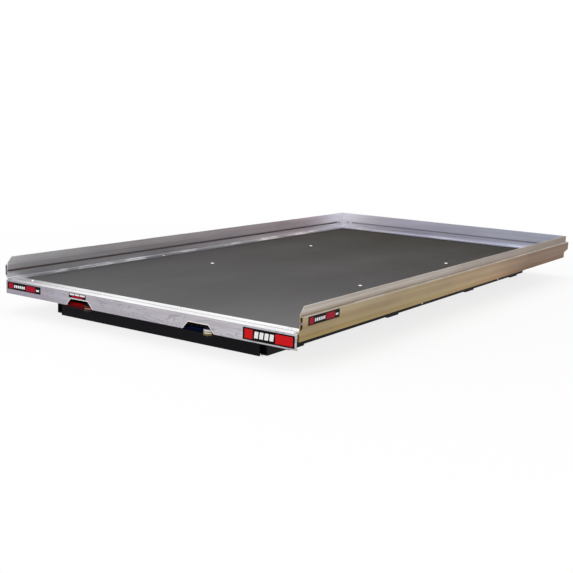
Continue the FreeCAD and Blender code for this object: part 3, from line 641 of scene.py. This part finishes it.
def add_piece(name, mesh, body, finish, stands_for=()):
    """Puts a finished mesh into the scene, on its body and in its material slot."""
    piece = bpy.data.objects.new(name, mesh)
    bpy.context.scene.collection.objects.link(piece)
    mesh.materials.clear()
    mesh.materials.append(finish.material)
    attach(piece, body)
    if stands_for:
        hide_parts(*stands_for)
    return piece


def broken_edges(node, width, step_back=None):
    """A copy of a CAD node with its edges rounded to this width, which replaces it.
    step_back is (axis, plane): the vertices on that plane move inwards a little."""
    shape = bmesh.new()
    shape.from_mesh(nodes[node].data)
    bmesh.ops.remove_doubles(shape, verts=shape.verts, dist=1e-6)
    flat = math.radians(0.5)
    bmesh.ops.dissolve_limit(shape, angle_limit=flat, verts=shape.verts, edges=shape.edges)
    mesh = bpy.data.meshes.new(node + "_finished")
    shape.to_mesh(mesh)
    shape.free()
    if step_back:
        axis, plane = step_back
        points = np.empty(len(mesh.vertices) * 3)
        mesh.vertices.foreach_get("co", points)
        column = points.reshape(-1, 3)[:, axis]
        column[np.abs(column - plane) < 1e-5] -= math.copysign(PRINT_STEP, plane)
        mesh.vertices.foreach_set("co", points)
    shade(mesh)
    piece = add_piece(node + "_finished", mesh, body_by_node[node], finish_of(node), [node])
    bevel = piece.modifiers.new("broken edge", "BEVEL")
    bevel.width = width
    bevel.segments = 2
    bevel.limit_method = "ANGLE"
    bevel.angle_limit = math.radians(40)
    bevel.harden_normals = True
    return piece


front_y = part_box("front_channel")[0].y
rail_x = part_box("right_side_rail")[1].x
plates = ["right_base_rail", "left_base_rail", "right_feet", "left_feet", "stop_blocks", "stop_lugs"]
plates += ["front_crossmember", "front_middle_crossmember", "rear_middle_crossmember", "rear_crossmember"]
plates += ["front_brace", "middle_brace", "rear_brace", "right_slide_channel", "left_slide_channel"]
plates += ["red_latch_bracket", "blue_latch_bracket", "red_keeper", "blue_keeper"]
for node in plates:
    broken_edges(node, 0.0008)
for node in ("right_corner_bracket", "left_corner_bracket", "red_lever", "blue_lever"):
    broken_edges(node, 0.0006)
for node in ("deck_nuts", "bearing_nuts", "pivot_nuts", "upper_pivot_washers", "lower_pivot_washers"):
    broken_edges(node, 0.0004)
broken_edges("front_channel", 0.0005, (1, front_y))
broken_edges("right_side_rail", 0.0006, (0, rail_x))
broken_edges("left_side_rail", 0.0006, (0, -rail_x))
broken_edges("rear_rail", 0.0006)

# %% [markdown]
# ## Helpers for computed surfaces
#
# A new piece is a surface that numpy works out on a grid of points. The faces of a grid
# are always the same pattern of four neighbours, so one helper makes them for every
# piece. Three kinds of surface are enough here: a profile turned about an axis, an oval
# section carried along a path, and a thin plate with a convex outline.

# %% Grids, turned profiles, tubes and plates
def grid_faces(rows, columns):
    """Quads of a grid whose columns close into rings. Face (i, j) joins point (i, j) to
    (i+1, j), (i+1, j+1) and (i, j+1), and the last column joins the first."""
    i, j = np.meshgrid(np.arange(rows - 1), np.arange(columns), indexing="ij")
    after = (j + 1) % columns
    corners = (i * columns + j, (i + 1) * columns + j, (i + 1) * columns + after, i * columns + after)
    return np.stack(corners, -1).reshape(-1, 4)


def surface_mesh(name, parts, degrees=35.0):
    """One mesh from several (points, faces) parts. Points that meet are merged, which
    closes poles and seams, and the faces are turned outwards."""
    counts = np.cumsum([0] + [len(points) for points, faces in parts])
    points = np.concatenate([points for points, faces in parts])
    faces = np.concatenate([faces + start for (_, faces), start in zip(parts, counts)])
    mesh = bpy.data.meshes.new(name)
    mesh.from_pydata(points.tolist(), [], faces.tolist())
    shape = bmesh.new()
    shape.from_mesh(mesh)
    bmesh.ops.remove_doubles(shape, verts=shape.verts, dist=1e-6)
    bmesh.ops.dissolve_degenerate(shape, edges=shape.edges, dist=1e-7)
    bmesh.ops.recalc_face_normals(shape, faces=shape.faces)
    shape.to_mesh(mesh)
    shape.free()
    shade(mesh, degrees)
    return mesh


def cross_frame(axis):
    """Two unit vectors at right angles to an axis and to each other."""
    axis = np.asarray(axis, float)
    helper = np.eye(3)[np.argmin(np.abs(axis))]
    first = np.cross(axis, helper)
    first /= np.linalg.norm(first)
    return first, np.cross(axis, first)


def turned(profile, start, axis, hexed=(), sides=32):
    """Surface of revolution. Point (i, k) lies profile[i][0] along the axis from start
    and profile[i][1] away from it, at the angle 2 pi k / sides. Rows in hexed follow a
    hexagon with that half width across its flats."""
    along, reach = np.array(profile, float).T
    turn = math.tau * np.arange(sides) / sides
    reach = np.repeat(reach[:, None], sides, 1)
    for row in hexed:
        reach[row] /= np.cos(turn % (math.tau / 6) - math.tau / 12)
    first, second = cross_frame(axis)
    ring = np.cos(turn)[:, None] * first + np.sin(turn)[:, None] * second
    points = np.asarray(start) + along[:, None, None] * np.asarray(axis) + reach[..., None] * ring
    return points.reshape(-1, 3), grid_faces(len(profile), sides)


def oval_tube(path, across, lift, width, height, sides=10):
    """Oval section carried along a path, with closed ends. Point (i, k) is path[i] plus
    width cos(t) across and height sin(t) along lift, where t is 2 pi k / sides."""
    count = len(path)
    across, lift = (np.broadcast_to(v, (count, 3)) for v in (across, lift))
    width, height = (np.broadcast_to(v, (count,)).astype(float) for v in (width, height))
    turn = math.tau * np.arange(sides) / sides
    sideways = width[:, None, None] * np.cos(turn)[None, :, None] * across[:, None, :]
    upwards = height[:, None, None] * np.sin(turn)[None, :, None] * lift[:, None, :]
    rings = np.asarray(path)[:, None, :] + sideways + upwards
    ends = [np.repeat(np.asarray(path)[k][None, None, :], sides, 1) for k in (0, -1)]
    points = np.concatenate([ends[0], rings, ends[1]])
    return points.reshape(-1, 3), grid_faces(count + 2, sides)


def plate(outline, origin, right, up, bottom, top):
    """Thin plate with a convex outline. Its rows are the middle of the back, the back
    edge, the front edge and the middle of the front, at bottom and top off the origin."""
    right, up = np.asarray(right, float), np.asarray(up, float)
    out = np.cross(right, up)
    flat = np.asarray(outline)[:, :1] * right + np.asarray(outline)[:, 1:] * up + np.asarray(origin)
    middle = np.repeat(flat.mean(0)[None], len(flat), 0)
    rows = [middle + out * bottom, flat + out * bottom, flat + out * top, middle + out * top]
    return np.concatenate(rows), grid_faces(4, len(flat))


def solid_boxes(node):
    """Low and high corners of each separate solid of a CAD node. Each point takes the
    lowest number of its neighbours again and again, until each solid has one number."""
    mesh = nodes[node].data
    points = np.empty(len(mesh.vertices) * 3)
    mesh.vertices.foreach_get("co", points)
    ends = np.empty(len(mesh.edges) * 2, int)
    mesh.edges.foreach_get("vertices", ends)
    unique, where = np.unique(np.round(points.reshape(-1, 3), 6), axis=0, return_inverse=True)
    ends = where.reshape(-1)[ends].reshape(-1, 2)
    label = np.arange(len(unique))
    while True:
        lowest = np.minimum(label[ends[:, 0]], label[ends[:, 1]])
        spread = label.copy()
        np.minimum.at(spread, ends[:, 0], lowest)
        np.minimum.at(spread, ends[:, 1], lowest)
        if (spread == label).all():
            break
        label = spread
    return [(unique[label == k].min(0), unique[label == k].max(0)) for k in np.unique(label)]


# %% [markdown]
# ## Screws and bolts with domed heads
#
# The screws through the flange and the lips are button heads with a hexagon socket, and
# the deck bolts are low carriage heads without one. Each is one profile turned about
# its axis: the socket, the dome, the rim, the thread and the point.

# %% Fasteners
THREAD_PITCH = 1.25 * MM


def fastener(box, axis, head_radius, head_height, shank_radius, point, socket=0.0):
    """Turned profile of a screw that fills a CAD solid's box, from its crown to its tip.
    Depths grow from the crown; the dome's depth grows with the square of the radius."""
    low, high = box
    axis = np.asarray(axis, float)
    middle = (low + high) / 2
    length = float(np.abs((high - low) @ axis))
    crown = middle - axis * length / 2
    start = socket + 0.35 * MM if socket else 0.0
    rows = [(0.0, 0.0)]
    hexed = ()
    if socket:
        floor = head_height * 0.75
        rows = [(floor, 0.0), (floor, socket * 0.96), (0.08 * MM, socket), (0.0, start)]
        hexed = (1, 2)
    reach = np.linspace(start, head_radius, 8)[1:]
    dome = (head_height - 0.5 * MM) * (reach**2 - start**2) / (head_radius**2 - start**2)
    rows += list(zip(dome, reach))
    rows += [(head_height - 0.1 * MM, head_radius), (head_height, head_radius - 0.15 * MM)]
    rows += [(head_height, shank_radius), (head_height + 2 * MM, shank_radius)]
    threads = np.arange(head_height + 2 * MM, length - point - THREAD_PITCH, THREAD_PITCH)
    shape = np.array([(0.0, 0.86), (0.3, 0.86), (0.55, 1.0), (0.75, 1.0)])
    for depth in threads:
        rows += list(zip(depth + shape[:, 0] * THREAD_PITCH, shape[:, 1] * shank_radius))
    rows += [(length - point, shank_radius * 0.86), (length, 0.0)]
    return turned(rows, crown, axis, hexed, sides=24)


DOWN = (0.0, 0.0, -1.0)
screw_sizes = (6.5 * MM, 2.6 * MM, 3.0 * MM, 4.0 * MM, 2.1 * MM)
for node in ("front_flange_screws", "side_rail_screws", "rear_rail_screws"):
    parts = [fastener(box, DOWN, *screw_sizes) for box in solid_boxes(node)]
    mesh = surface_mesh(node + "_turned", parts)
    add_piece(node + "_turned", mesh, "deck", zinc_finish, [node])
parts = [fastener(box, DOWN, 8 * MM, 3 * MM, 4 * MM, 0.5 * MM) for box in solid_boxes("deck_bolts")]
mesh = surface_mesh("deck_bolts_turned", parts)
add_piece("deck_bolts_turned", mesh, "deck", zinc_finish, ["deck_bolts"])
parts = []
for box in solid_boxes("corner_bracket_bolts"):
    middle = (box[0] + box[1]) / 2
    side = np.array([1.0, 0.0, 0.0]) * np.sign(middle[0])
    along_x = box[1][0] - box[0][0] > box[1][1] - box[0][1]
    axis = side if along_x else np.array([0.0, 1.0, 0.0])
    parts.append(fastener(box, axis, 6 * MM, 3.2 * MM, 3 * MM, 0.5 * MM, 1.9 * MM))
mesh = surface_mesh("corner_bracket_bolts_turned", parts)
name = "corner_bracket_bolts"
add_piece(name + "_turned", mesh, "deck", zinc_finish, [name])
print("fasteners done")

# %% [markdown]
# ## Dipped grips
#
# Each lever bar was heated and dipped in liquid vinyl, which leaves a soft rounded box
# with a full end and a thicker bead where the dip stopped.

# %% Grips
def dipped_grip(box, rows=40, sides=36, power=3.2):
    """Rounded box along X. Its section is a superellipse, whose sine and cosine are
    raised to 2 / power. It shrinks like a circle's edge towards the full end at low X,
    and swells by a bead at the open end."""
    low, high = box
    middle, half = (low + high) / 2, (high - low) / 2
    cap = 7 * MM
    share = np.linspace(0.0, 1.0, rows) ** 1.4
    length = (high - low)[0]
    along = share * length
    size = np.sqrt(np.clip(1 - (1 - np.minimum(along / cap, 1.0)) ** 2, 0.0, 1.0))
    size *= 0.965 + 0.035 * np.exp(-(((length - 2.5 * MM - along) / (2.2 * MM)) ** 2))
    size *= 1 - 0.012 * np.cos(along / (21 * MM) * math.tau)
    size = np.minimum(np.append(size, 0.0), 1.0)
    along = np.append(along, length)
    turn = math.tau * np.arange(sides) / sides
    cosine, sine = np.cos(turn), np.sin(turn)
    y = np.sign(cosine) * np.abs(cosine) ** (2 / power) * half[1]
    z = np.sign(sine) * np.abs(sine) ** (2 / power) * half[2]
    points = np.empty((rows + 1, sides, 3))
    points[..., 0] = low[0] + along[:, None]
    points[..., 1] = middle[1] + size[:, None] * y
    points[..., 2] = middle[2] + size[:, None] * z
    return points.reshape(-1, 3), grid_faces(rows + 1, sides)


for colour in ("red", "blue"):
    node = colour + "_grip"
    mesh = surface_mesh(node + "_dipped", [dipped_grip(solid_boxes(node)[0])], 60)
    add_piece(node + "_dipped", mesh, body_by_node[node], finish_of(node), [node])

# %% [markdown]
# ## Bright rims round the hand holes
#
# The hand holes were cut and then rolled over with a deburring tool, which leaves a
# bright rim two millimetres wide. An oval section follows the outline of each hole.

# %% Hand hole rims
HOLE_CENTRE = 251 * MM
HOLE_TOP = 88.5 * MM
FACE_BOTTOM = 64.5 * MM
RIM_HALF = 1.0 * MM


def hand_hole_path(centre, offset):
    """Outline of a hand hole, moved outwards by offset, with each corner turned on a
    short arc. It runs from the lower left over the top to the lower right."""
    slope = np.array([22.0, HOLE_TOP / MM - FACE_BOTTOM / MM])
    slope /= np.linalg.norm(slope)
    left = np.array([-slope[1], slope[0]])
    top_left = np.array([-39 * MM, HOLE_TOP])
    foot_left = np.array([-61 * MM, FACE_BOTTOM])
    start, end = np.arctan2(left[1], left[0]), math.tau / 4
    arc = np.linspace(start, end, 9)
    corner = top_left + offset * np.stack([np.cos(arc), np.sin(arc)], -1)
    run = foot_left + left * offset + np.linspace(0, 1, 12)[:-1, None] * (top_left - foot_left)
    half = np.concatenate([run, corner])
    bridge = np.linspace(half[-1, 0], -half[-1, 0], 20)[1:-1]
    top = np.stack([bridge, np.full(len(bridge), half[-1, 1])], -1)
    outline = np.concatenate([half, top, (half * [-1, 1])[::-1]])
    return outline + [centre, 0.0]


def rim(centre):
    """Oval rim on the face, half sunk in it. Its across vector is at right angles to
    the path, from the difference between the points before and after."""
    outline = hand_hole_path(centre, RIM_HALF)
    path = np.stack([outline[:, 0], np.full(len(outline), front_y + PRINT_STEP), outline[:, 1]], -1)
    ahead = np.gradient(path, axis=0)
    ahead /= np.linalg.norm(ahead, axis=1)[:, None]
    across = np.cross(ahead, [0.0, -1.0, 0.0])
    return oval_tube(path, across, (0.0, -1.0, 0.0), RIM_HALF, PRINT_STEP, sides=12)


mesh = surface_mesh("hand_hole_rims", [rim(-HOLE_CENTRE), rim(HOLE_CENTRE)], 60)
add_piece("hand_hole_rims", mesh, "deck", rim_finish)

# %% [markdown]
# ## Print plates
#
# Four printed plates sit on the part: one at each end of the face, a small one above
# the red lever and one on the near rail. Their print is generic: black plates with
# red fields and plain white bars. All the ink of one colour is a single piece.

# %% Print plates
INK_STEP = 0.05 * MM


def rounded(x0, x1, z0, z1, radius, lean=0.0):
    """Outline of a rectangle with quarter-circle corners, leaning right by lean."""
    turn = np.linspace(0, math.tau / 4, 5)
    corners = []
    for k, (x, z) in enumerate(((x1, z1), (x0, z1), (x0, z0), (x1, z0))):
        outward = np.sign([x - (x0 + x1) / 2, z - (z0 + z1) / 2])
        inward = np.array([x, z]) - radius * outward
        angle = turn + k * math.tau / 4
        corners.append(inward + radius * np.stack([np.cos(angle), np.sin(angle)], -1))
    outline = np.concatenate(corners)
    outline[:, 0] += lean * (outline[:, 1] - z0) / (z1 - z0)
    return outline


class Print:
    """Print on one flat face. Shares run from 0 to 1 over the plate's width and height."""

    def __init__(self, origin, right, size):
        self.origin, self.right, self.size = origin, right, size

    def patch(self, layer, x0, x1, z0, z1, radius=0.6 * MM, lean=0.0):
        wide, tall = self.size
        outline = rounded(x0 * wide, x1 * wide, z0 * tall, z1 * tall, radius, lean)
        return plate(outline, self.origin, self.right, (0, 0, 1), 0.0, PRINT_STEP - (2 - layer) * INK_STEP)


def print_parts():
    """Black plates, red fields and white bars of the four plates."""
    face = front_y + PRINT_STEP
    ahead = (1.0, 0.0, 0.0)
    left = Print((-0.600, face, 0.081), ahead, (0.1655, 0.0255))
    right = Print((0.4190, face, 0.069), ahead, (0.1820, 0.037))
    small = Print((-0.2985, face, 0.0925), ahead, (0.078, 0.0155))
    side = Print((rail_x - PRINT_STEP, -1.1150, 0.1328), (0.0, 1.0, 0.0), (0.172, 0.0262))
    black = [one.patch(0, 0.0, 1.0, 0.0, 1.0, 1.5 * MM) for one in (left, right, small, side)]
    red, white = [], []
    for one in (left, side):
        red.append(one.patch(1, 0.04, 0.17, 0.14, 0.86))
        red.append(one.patch(1, 0.56, 0.84, 0.14, 0.86))
        for k in range(6):
            start = 0.20 + 0.057 * k
            white.append(one.patch(2, start, start + 0.040, 0.30, 0.66, 0.3 * MM, 1.2 * MM))
        white.append(one.patch(2, 0.87, 0.955, 0.34, 0.56, 0.3 * MM))
    red.append(right.patch(1, 0.035, 0.195, 0.12, 0.88))
    red.append(right.patch(1, 0.635, 0.965, 0.12, 0.88))
    for k in range(4):
        start = 0.225 + 0.099 * k
        white.append(right.patch(2, start, start + 0.074, 0.24, 0.78, 0.8 * MM, 2.0 * MM))
    red.append(small.patch(1, 0.18, 0.82, 0.12, 0.54, 0.4 * MM))
    for x0, x1 in ((0.05, 0.33), (0.37, 0.62), (0.66, 0.95)):
        white.append(small.patch(2, x0, x1, 0.58, 0.90, 0.4 * MM))
    return black, red, white


inks = {"black": ink_black, "red": ink_red, "white": ink_white}
for (name, finish), parts in zip(inks.items(), print_parts()):
    add_piece("print_" + name, surface_mesh("print_" + name, parts), "deck", finish)

# %% [markdown]
# ## Weld beads, return springs and bearing seals
#
# A hand-laid bead is a row of overlapping puddles, so its width swells and shrinks
# regularly. The return spring is a helix round the pivot's spacer tube, with two
# straight legs. Each bearing's shield is a dark ring set in its face.

# %% Beads, springs and seals
def weld_bead(start, end, size):
    """Round bead between two points, tapered at its ends. Its radius is size times 0.82
    plus a ripple: 0.18 times the absolute value of a sine, with a hump every 2.4 mm."""
    start, end = np.array(start, float), np.array(end, float)
    length = np.linalg.norm(end - start)
    count = max(8, int(length / (0.6 * MM)))
    share = np.linspace(0, 1, count)
    path = start + share[:, None] * (end - start)
    swell = np.abs(np.sin(share * length / (2.4 * MM) * math.pi))
    radius = size * (0.82 + 0.18 * swell) * np.minimum(1.0, 0.45 + 12 * np.minimum(share, 1 - share))
    first, second = cross_frame((end - start) / length)
    return oval_tube(path, first, second, radius, radius, sides=8)


def base_beads():
    """Beads where the crossmembers meet the rails' webs, and the feet their flanges."""
    beads = []
    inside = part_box("right_base_rail")[0].x
    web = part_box("right_base_rail")[1].x - 5 * MM
    for name in ("front", "front_middle", "rear_middle", "rear"):
        low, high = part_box(name + "_crossmember")
        for side in (-1, 1):
            x = side * (web - 0.4 * MM)
            start = (x, low.y + 7 * MM, high.z)
            beads.append(weld_bead(start, (x, high.y - 2 * MM, high.z), 2.2 * MM))
    for low, high in solid_boxes("right_feet"):
        for side in (-1, 1):
            x = side * (inside - 0.4 * MM)
            start = (x, low[1] + 12 * MM, 5 * MM)
            beads.append(weld_bead(start, (x, high[1] - 12 * MM, 5 * MM), 2.0 * MM))
    return beads


def return_spring(centre, low, high):
    """Helix of thin wire. Its angle grows evenly with its height, and two legs leave it
    along tangents."""
    turns, radius = 4.5, 10.6 * MM
    angle = np.linspace(0, turns * math.tau, 160)
    share = angle / angle[-1]
    ring = np.stack([np.cos(angle), np.sin(angle), np.zeros_like(angle)], -1)
    path = np.asarray(centre) + radius * ring + share[:, None] * np.array([0, 0, high - low])
    ahead = np.gradient(path, axis=0)
    ahead /= np.linalg.norm(ahead, axis=1)[:, None]
    leg = np.linspace(1, 0, 8)[:-1, None] * 12 * MM
    path = np.concatenate([path[0] - leg * ahead[0], path, path[-1] + leg[::-1] * ahead[-1]])
    ahead = np.concatenate([np.repeat(ahead[:1], 7, 0), ahead, np.repeat(ahead[-1:], 7, 0)])
    across = np.cross(ahead, [0.0, 0.0, 1.0])
    across /= np.linalg.norm(across, axis=1)[:, None]
    return oval_tube(path, across, np.cross(across, ahead), 0.8 * MM, 0.8 * MM, sides=8)


def bearing_seal(low, high):
    """Two flat rings, one in each face of a bearing, turned about its axle."""
    rings = []
    for side in (-1, 1):
        face = (low.x + high.x) / 2 + side * (high.x - low.x) / 2
        start = (face, (low.y + high.y) / 2, (low.z + high.z) / 2)
        depth = np.array([0.9, 0.45, 0.35, 0.35, 0.45, 0.9, 0.9]) * MM
        reach = np.array([8.3, 8.4, 8.9, 12.7, 13.2, 13.3, 8.3]) * MM
        rings.append(turned(list(zip(depth, reach)), start, (-side, 0, 0), sides=40))
    return rings


mesh = surface_mesh("base_weld_beads", base_beads())
add_piece("base_weld_beads", mesh, "base", black_finish)
springs = []
for low, high in solid_boxes("pivot_spacers"):
    centre = (*((low + high) / 2)[:2], low[2] + 2 * MM)
    springs.append(return_spring(centre, low[2] + 2 * MM, high[2] - 2 * MM))
# Painted shade: the return springs take the black finish of the pivot parts.
add_piece("return_springs", surface_mesh("return_springs", springs, 60), "deck", shade_black_finish)
for node in [n for n in nodes if "_bearing_" in n]:
    mesh = surface_mesh(node + "_seals", bearing_seal(*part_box(node)))
    add_piece(node + "_seals", mesh, body_by_node[node], rubber_finish)
print("added pieces done")

# %% [markdown]
# ## Floor, backdrop and light
#
# The part stands on a plain pale floor that turns white some way from it, under a white
# world, as in a product studio. One broad overhead light and one from the tailgate side
# give soft shading, a small spot brightens the metal of the far corner, and the white
# surroundings do the rest.

# %% Stage and lights
FLOOR_SIZE = 60.0
FLOOR_COLOUR = (0.90, 0.90, 0.90)
FLOOR_FADE = (1.0, 2.6)
FLOOR_GLOW = 0.80


def seen_directly(tree):
    """Socket that is 1 for rays from the camera, off gloss and through glass, else 0."""
    path = tree.nodes.new("ShaderNodeLightPath")
    total = path.outputs["Is Camera Ray"]
    for name in ("Is Glossy Ray", "Is Transmission Ray"):
        node = tree.nodes.new("ShaderNodeMath")
        node.operation = "MAXIMUM"
        tree.links.new(total, node.inputs[0])
        tree.links.new(path.outputs[name], node.inputs[1])
        total = node.outputs["Value"]
    return total


def stage_floor():
    """Pale paper that turns plain white some way from the part, as a lit sweep does."""
    half = FLOOR_SIZE / 2
    points = [(-half, -half, 0), (half, -half, 0), (half, half, 0), (-half, half, 0)]
    mesh = bpy.data.meshes.new("floor")
    mesh.from_pydata(points, [], [(0, 1, 2, 3)])
    finish = Finish("floor_paper", FLOOR_COLOUR, 0.9, gloss=0.0)
    tree = finish.tree
    distance = finish.add("ShaderNodeVectorMath", [("Vector", finish.place)], operation="LENGTH")
    fade = finish.spread(distance.outputs["Value"], FLOOR_GLOW, 1.0, *FLOOR_FADE)
    across = finish.spread(finish.maths("ABSOLUTE", finish.along("X")), 0.0, 1.0, 0.405, 0.43)
    length = finish.spread(finish.maths("ABSOLUTE", finish.along("Y")), 0.0, 1.0, 1.03, 1.06)
    beside = finish.maths("MAXIMUM", across, length)
    amount = finish.maths("MULTIPLY", finish.maths("MULTIPLY", fade, beside), seen_directly(tree))
    white = tree.nodes.new("ShaderNodeEmission")
    mix = tree.nodes.new("ShaderNodeMixShader")
    tree.links.new(amount, mix.inputs["Fac"])
    tree.links.new(finish.shader.outputs["BSDF"], mix.inputs[1])
    tree.links.new(white.outputs["Emission"], mix.inputs[2])
    tree.links.new(mix.outputs["Shader"], tree.nodes["Material Output"].inputs["Surface"])
    mesh.materials.append(finish.material)
    floor = bpy.data.objects.new("floor", mesh)
    bpy.context.scene.collection.objects.link(floor)


def add_light(name, kind, place, target, **values):
    """A light at place, turned to its target."""
    data = bpy.data.lights.new(name, kind)
    for key, value in values.items():
        setattr(data, key, value)
    light = bpy.data.objects.new(name, data)
    bpy.context.scene.collection.objects.link(light)
    light.location = place
    light.rotation_euler = (Vector(target) - Vector(place)).to_track_quat("-Z", "Y").to_euler()


def white_world(diffuse_strength):
    """World that a camera, gloss and glass see as white, and that lights softly."""
    world = bpy.data.worlds.new("studio")
    bpy.context.scene.world = world
    world.use_nodes = True
    tree = world.node_tree
    background = tree.nodes["Background"]
    background.inputs["Color"].default_value = (1.0, 1.0, 1.0, 1.0)
    strength = tree.nodes.new("ShaderNodeMapRange")
    strength.inputs["To Min"].default_value = diffuse_strength
    strength.inputs["To Max"].default_value = 1.0
    tree.links.new(seen_directly(tree), strength.inputs["Value"])
    tree.links.new(strength.outputs["Result"], background.inputs["Strength"])


stage_floor()
white_world(0.66)
add_light("overhead", "SUN", (-0.6, 1.2, 4.0), (0, 0, 0), energy=1.0, angle=math.radians(50))
side_values = {"shape": "SQUARE", "size": 2.4, "energy": 36.0}
add_light("tailgate_side", "AREA", (-1.2, -4.4, 1.9), (0.0, -0.8, 0.1), **side_values)
corner_values = {"energy": 190.0, "spot_size": math.radians(6.4), "spot_blend": 1.0}
add_light("rear_corner", "SPOT", (2.4, -2.2, 0.9), (-0.62, 1.12, 0.16), **corner_values)
bpy.context.scene.view_settings.view_transform = "Standard"
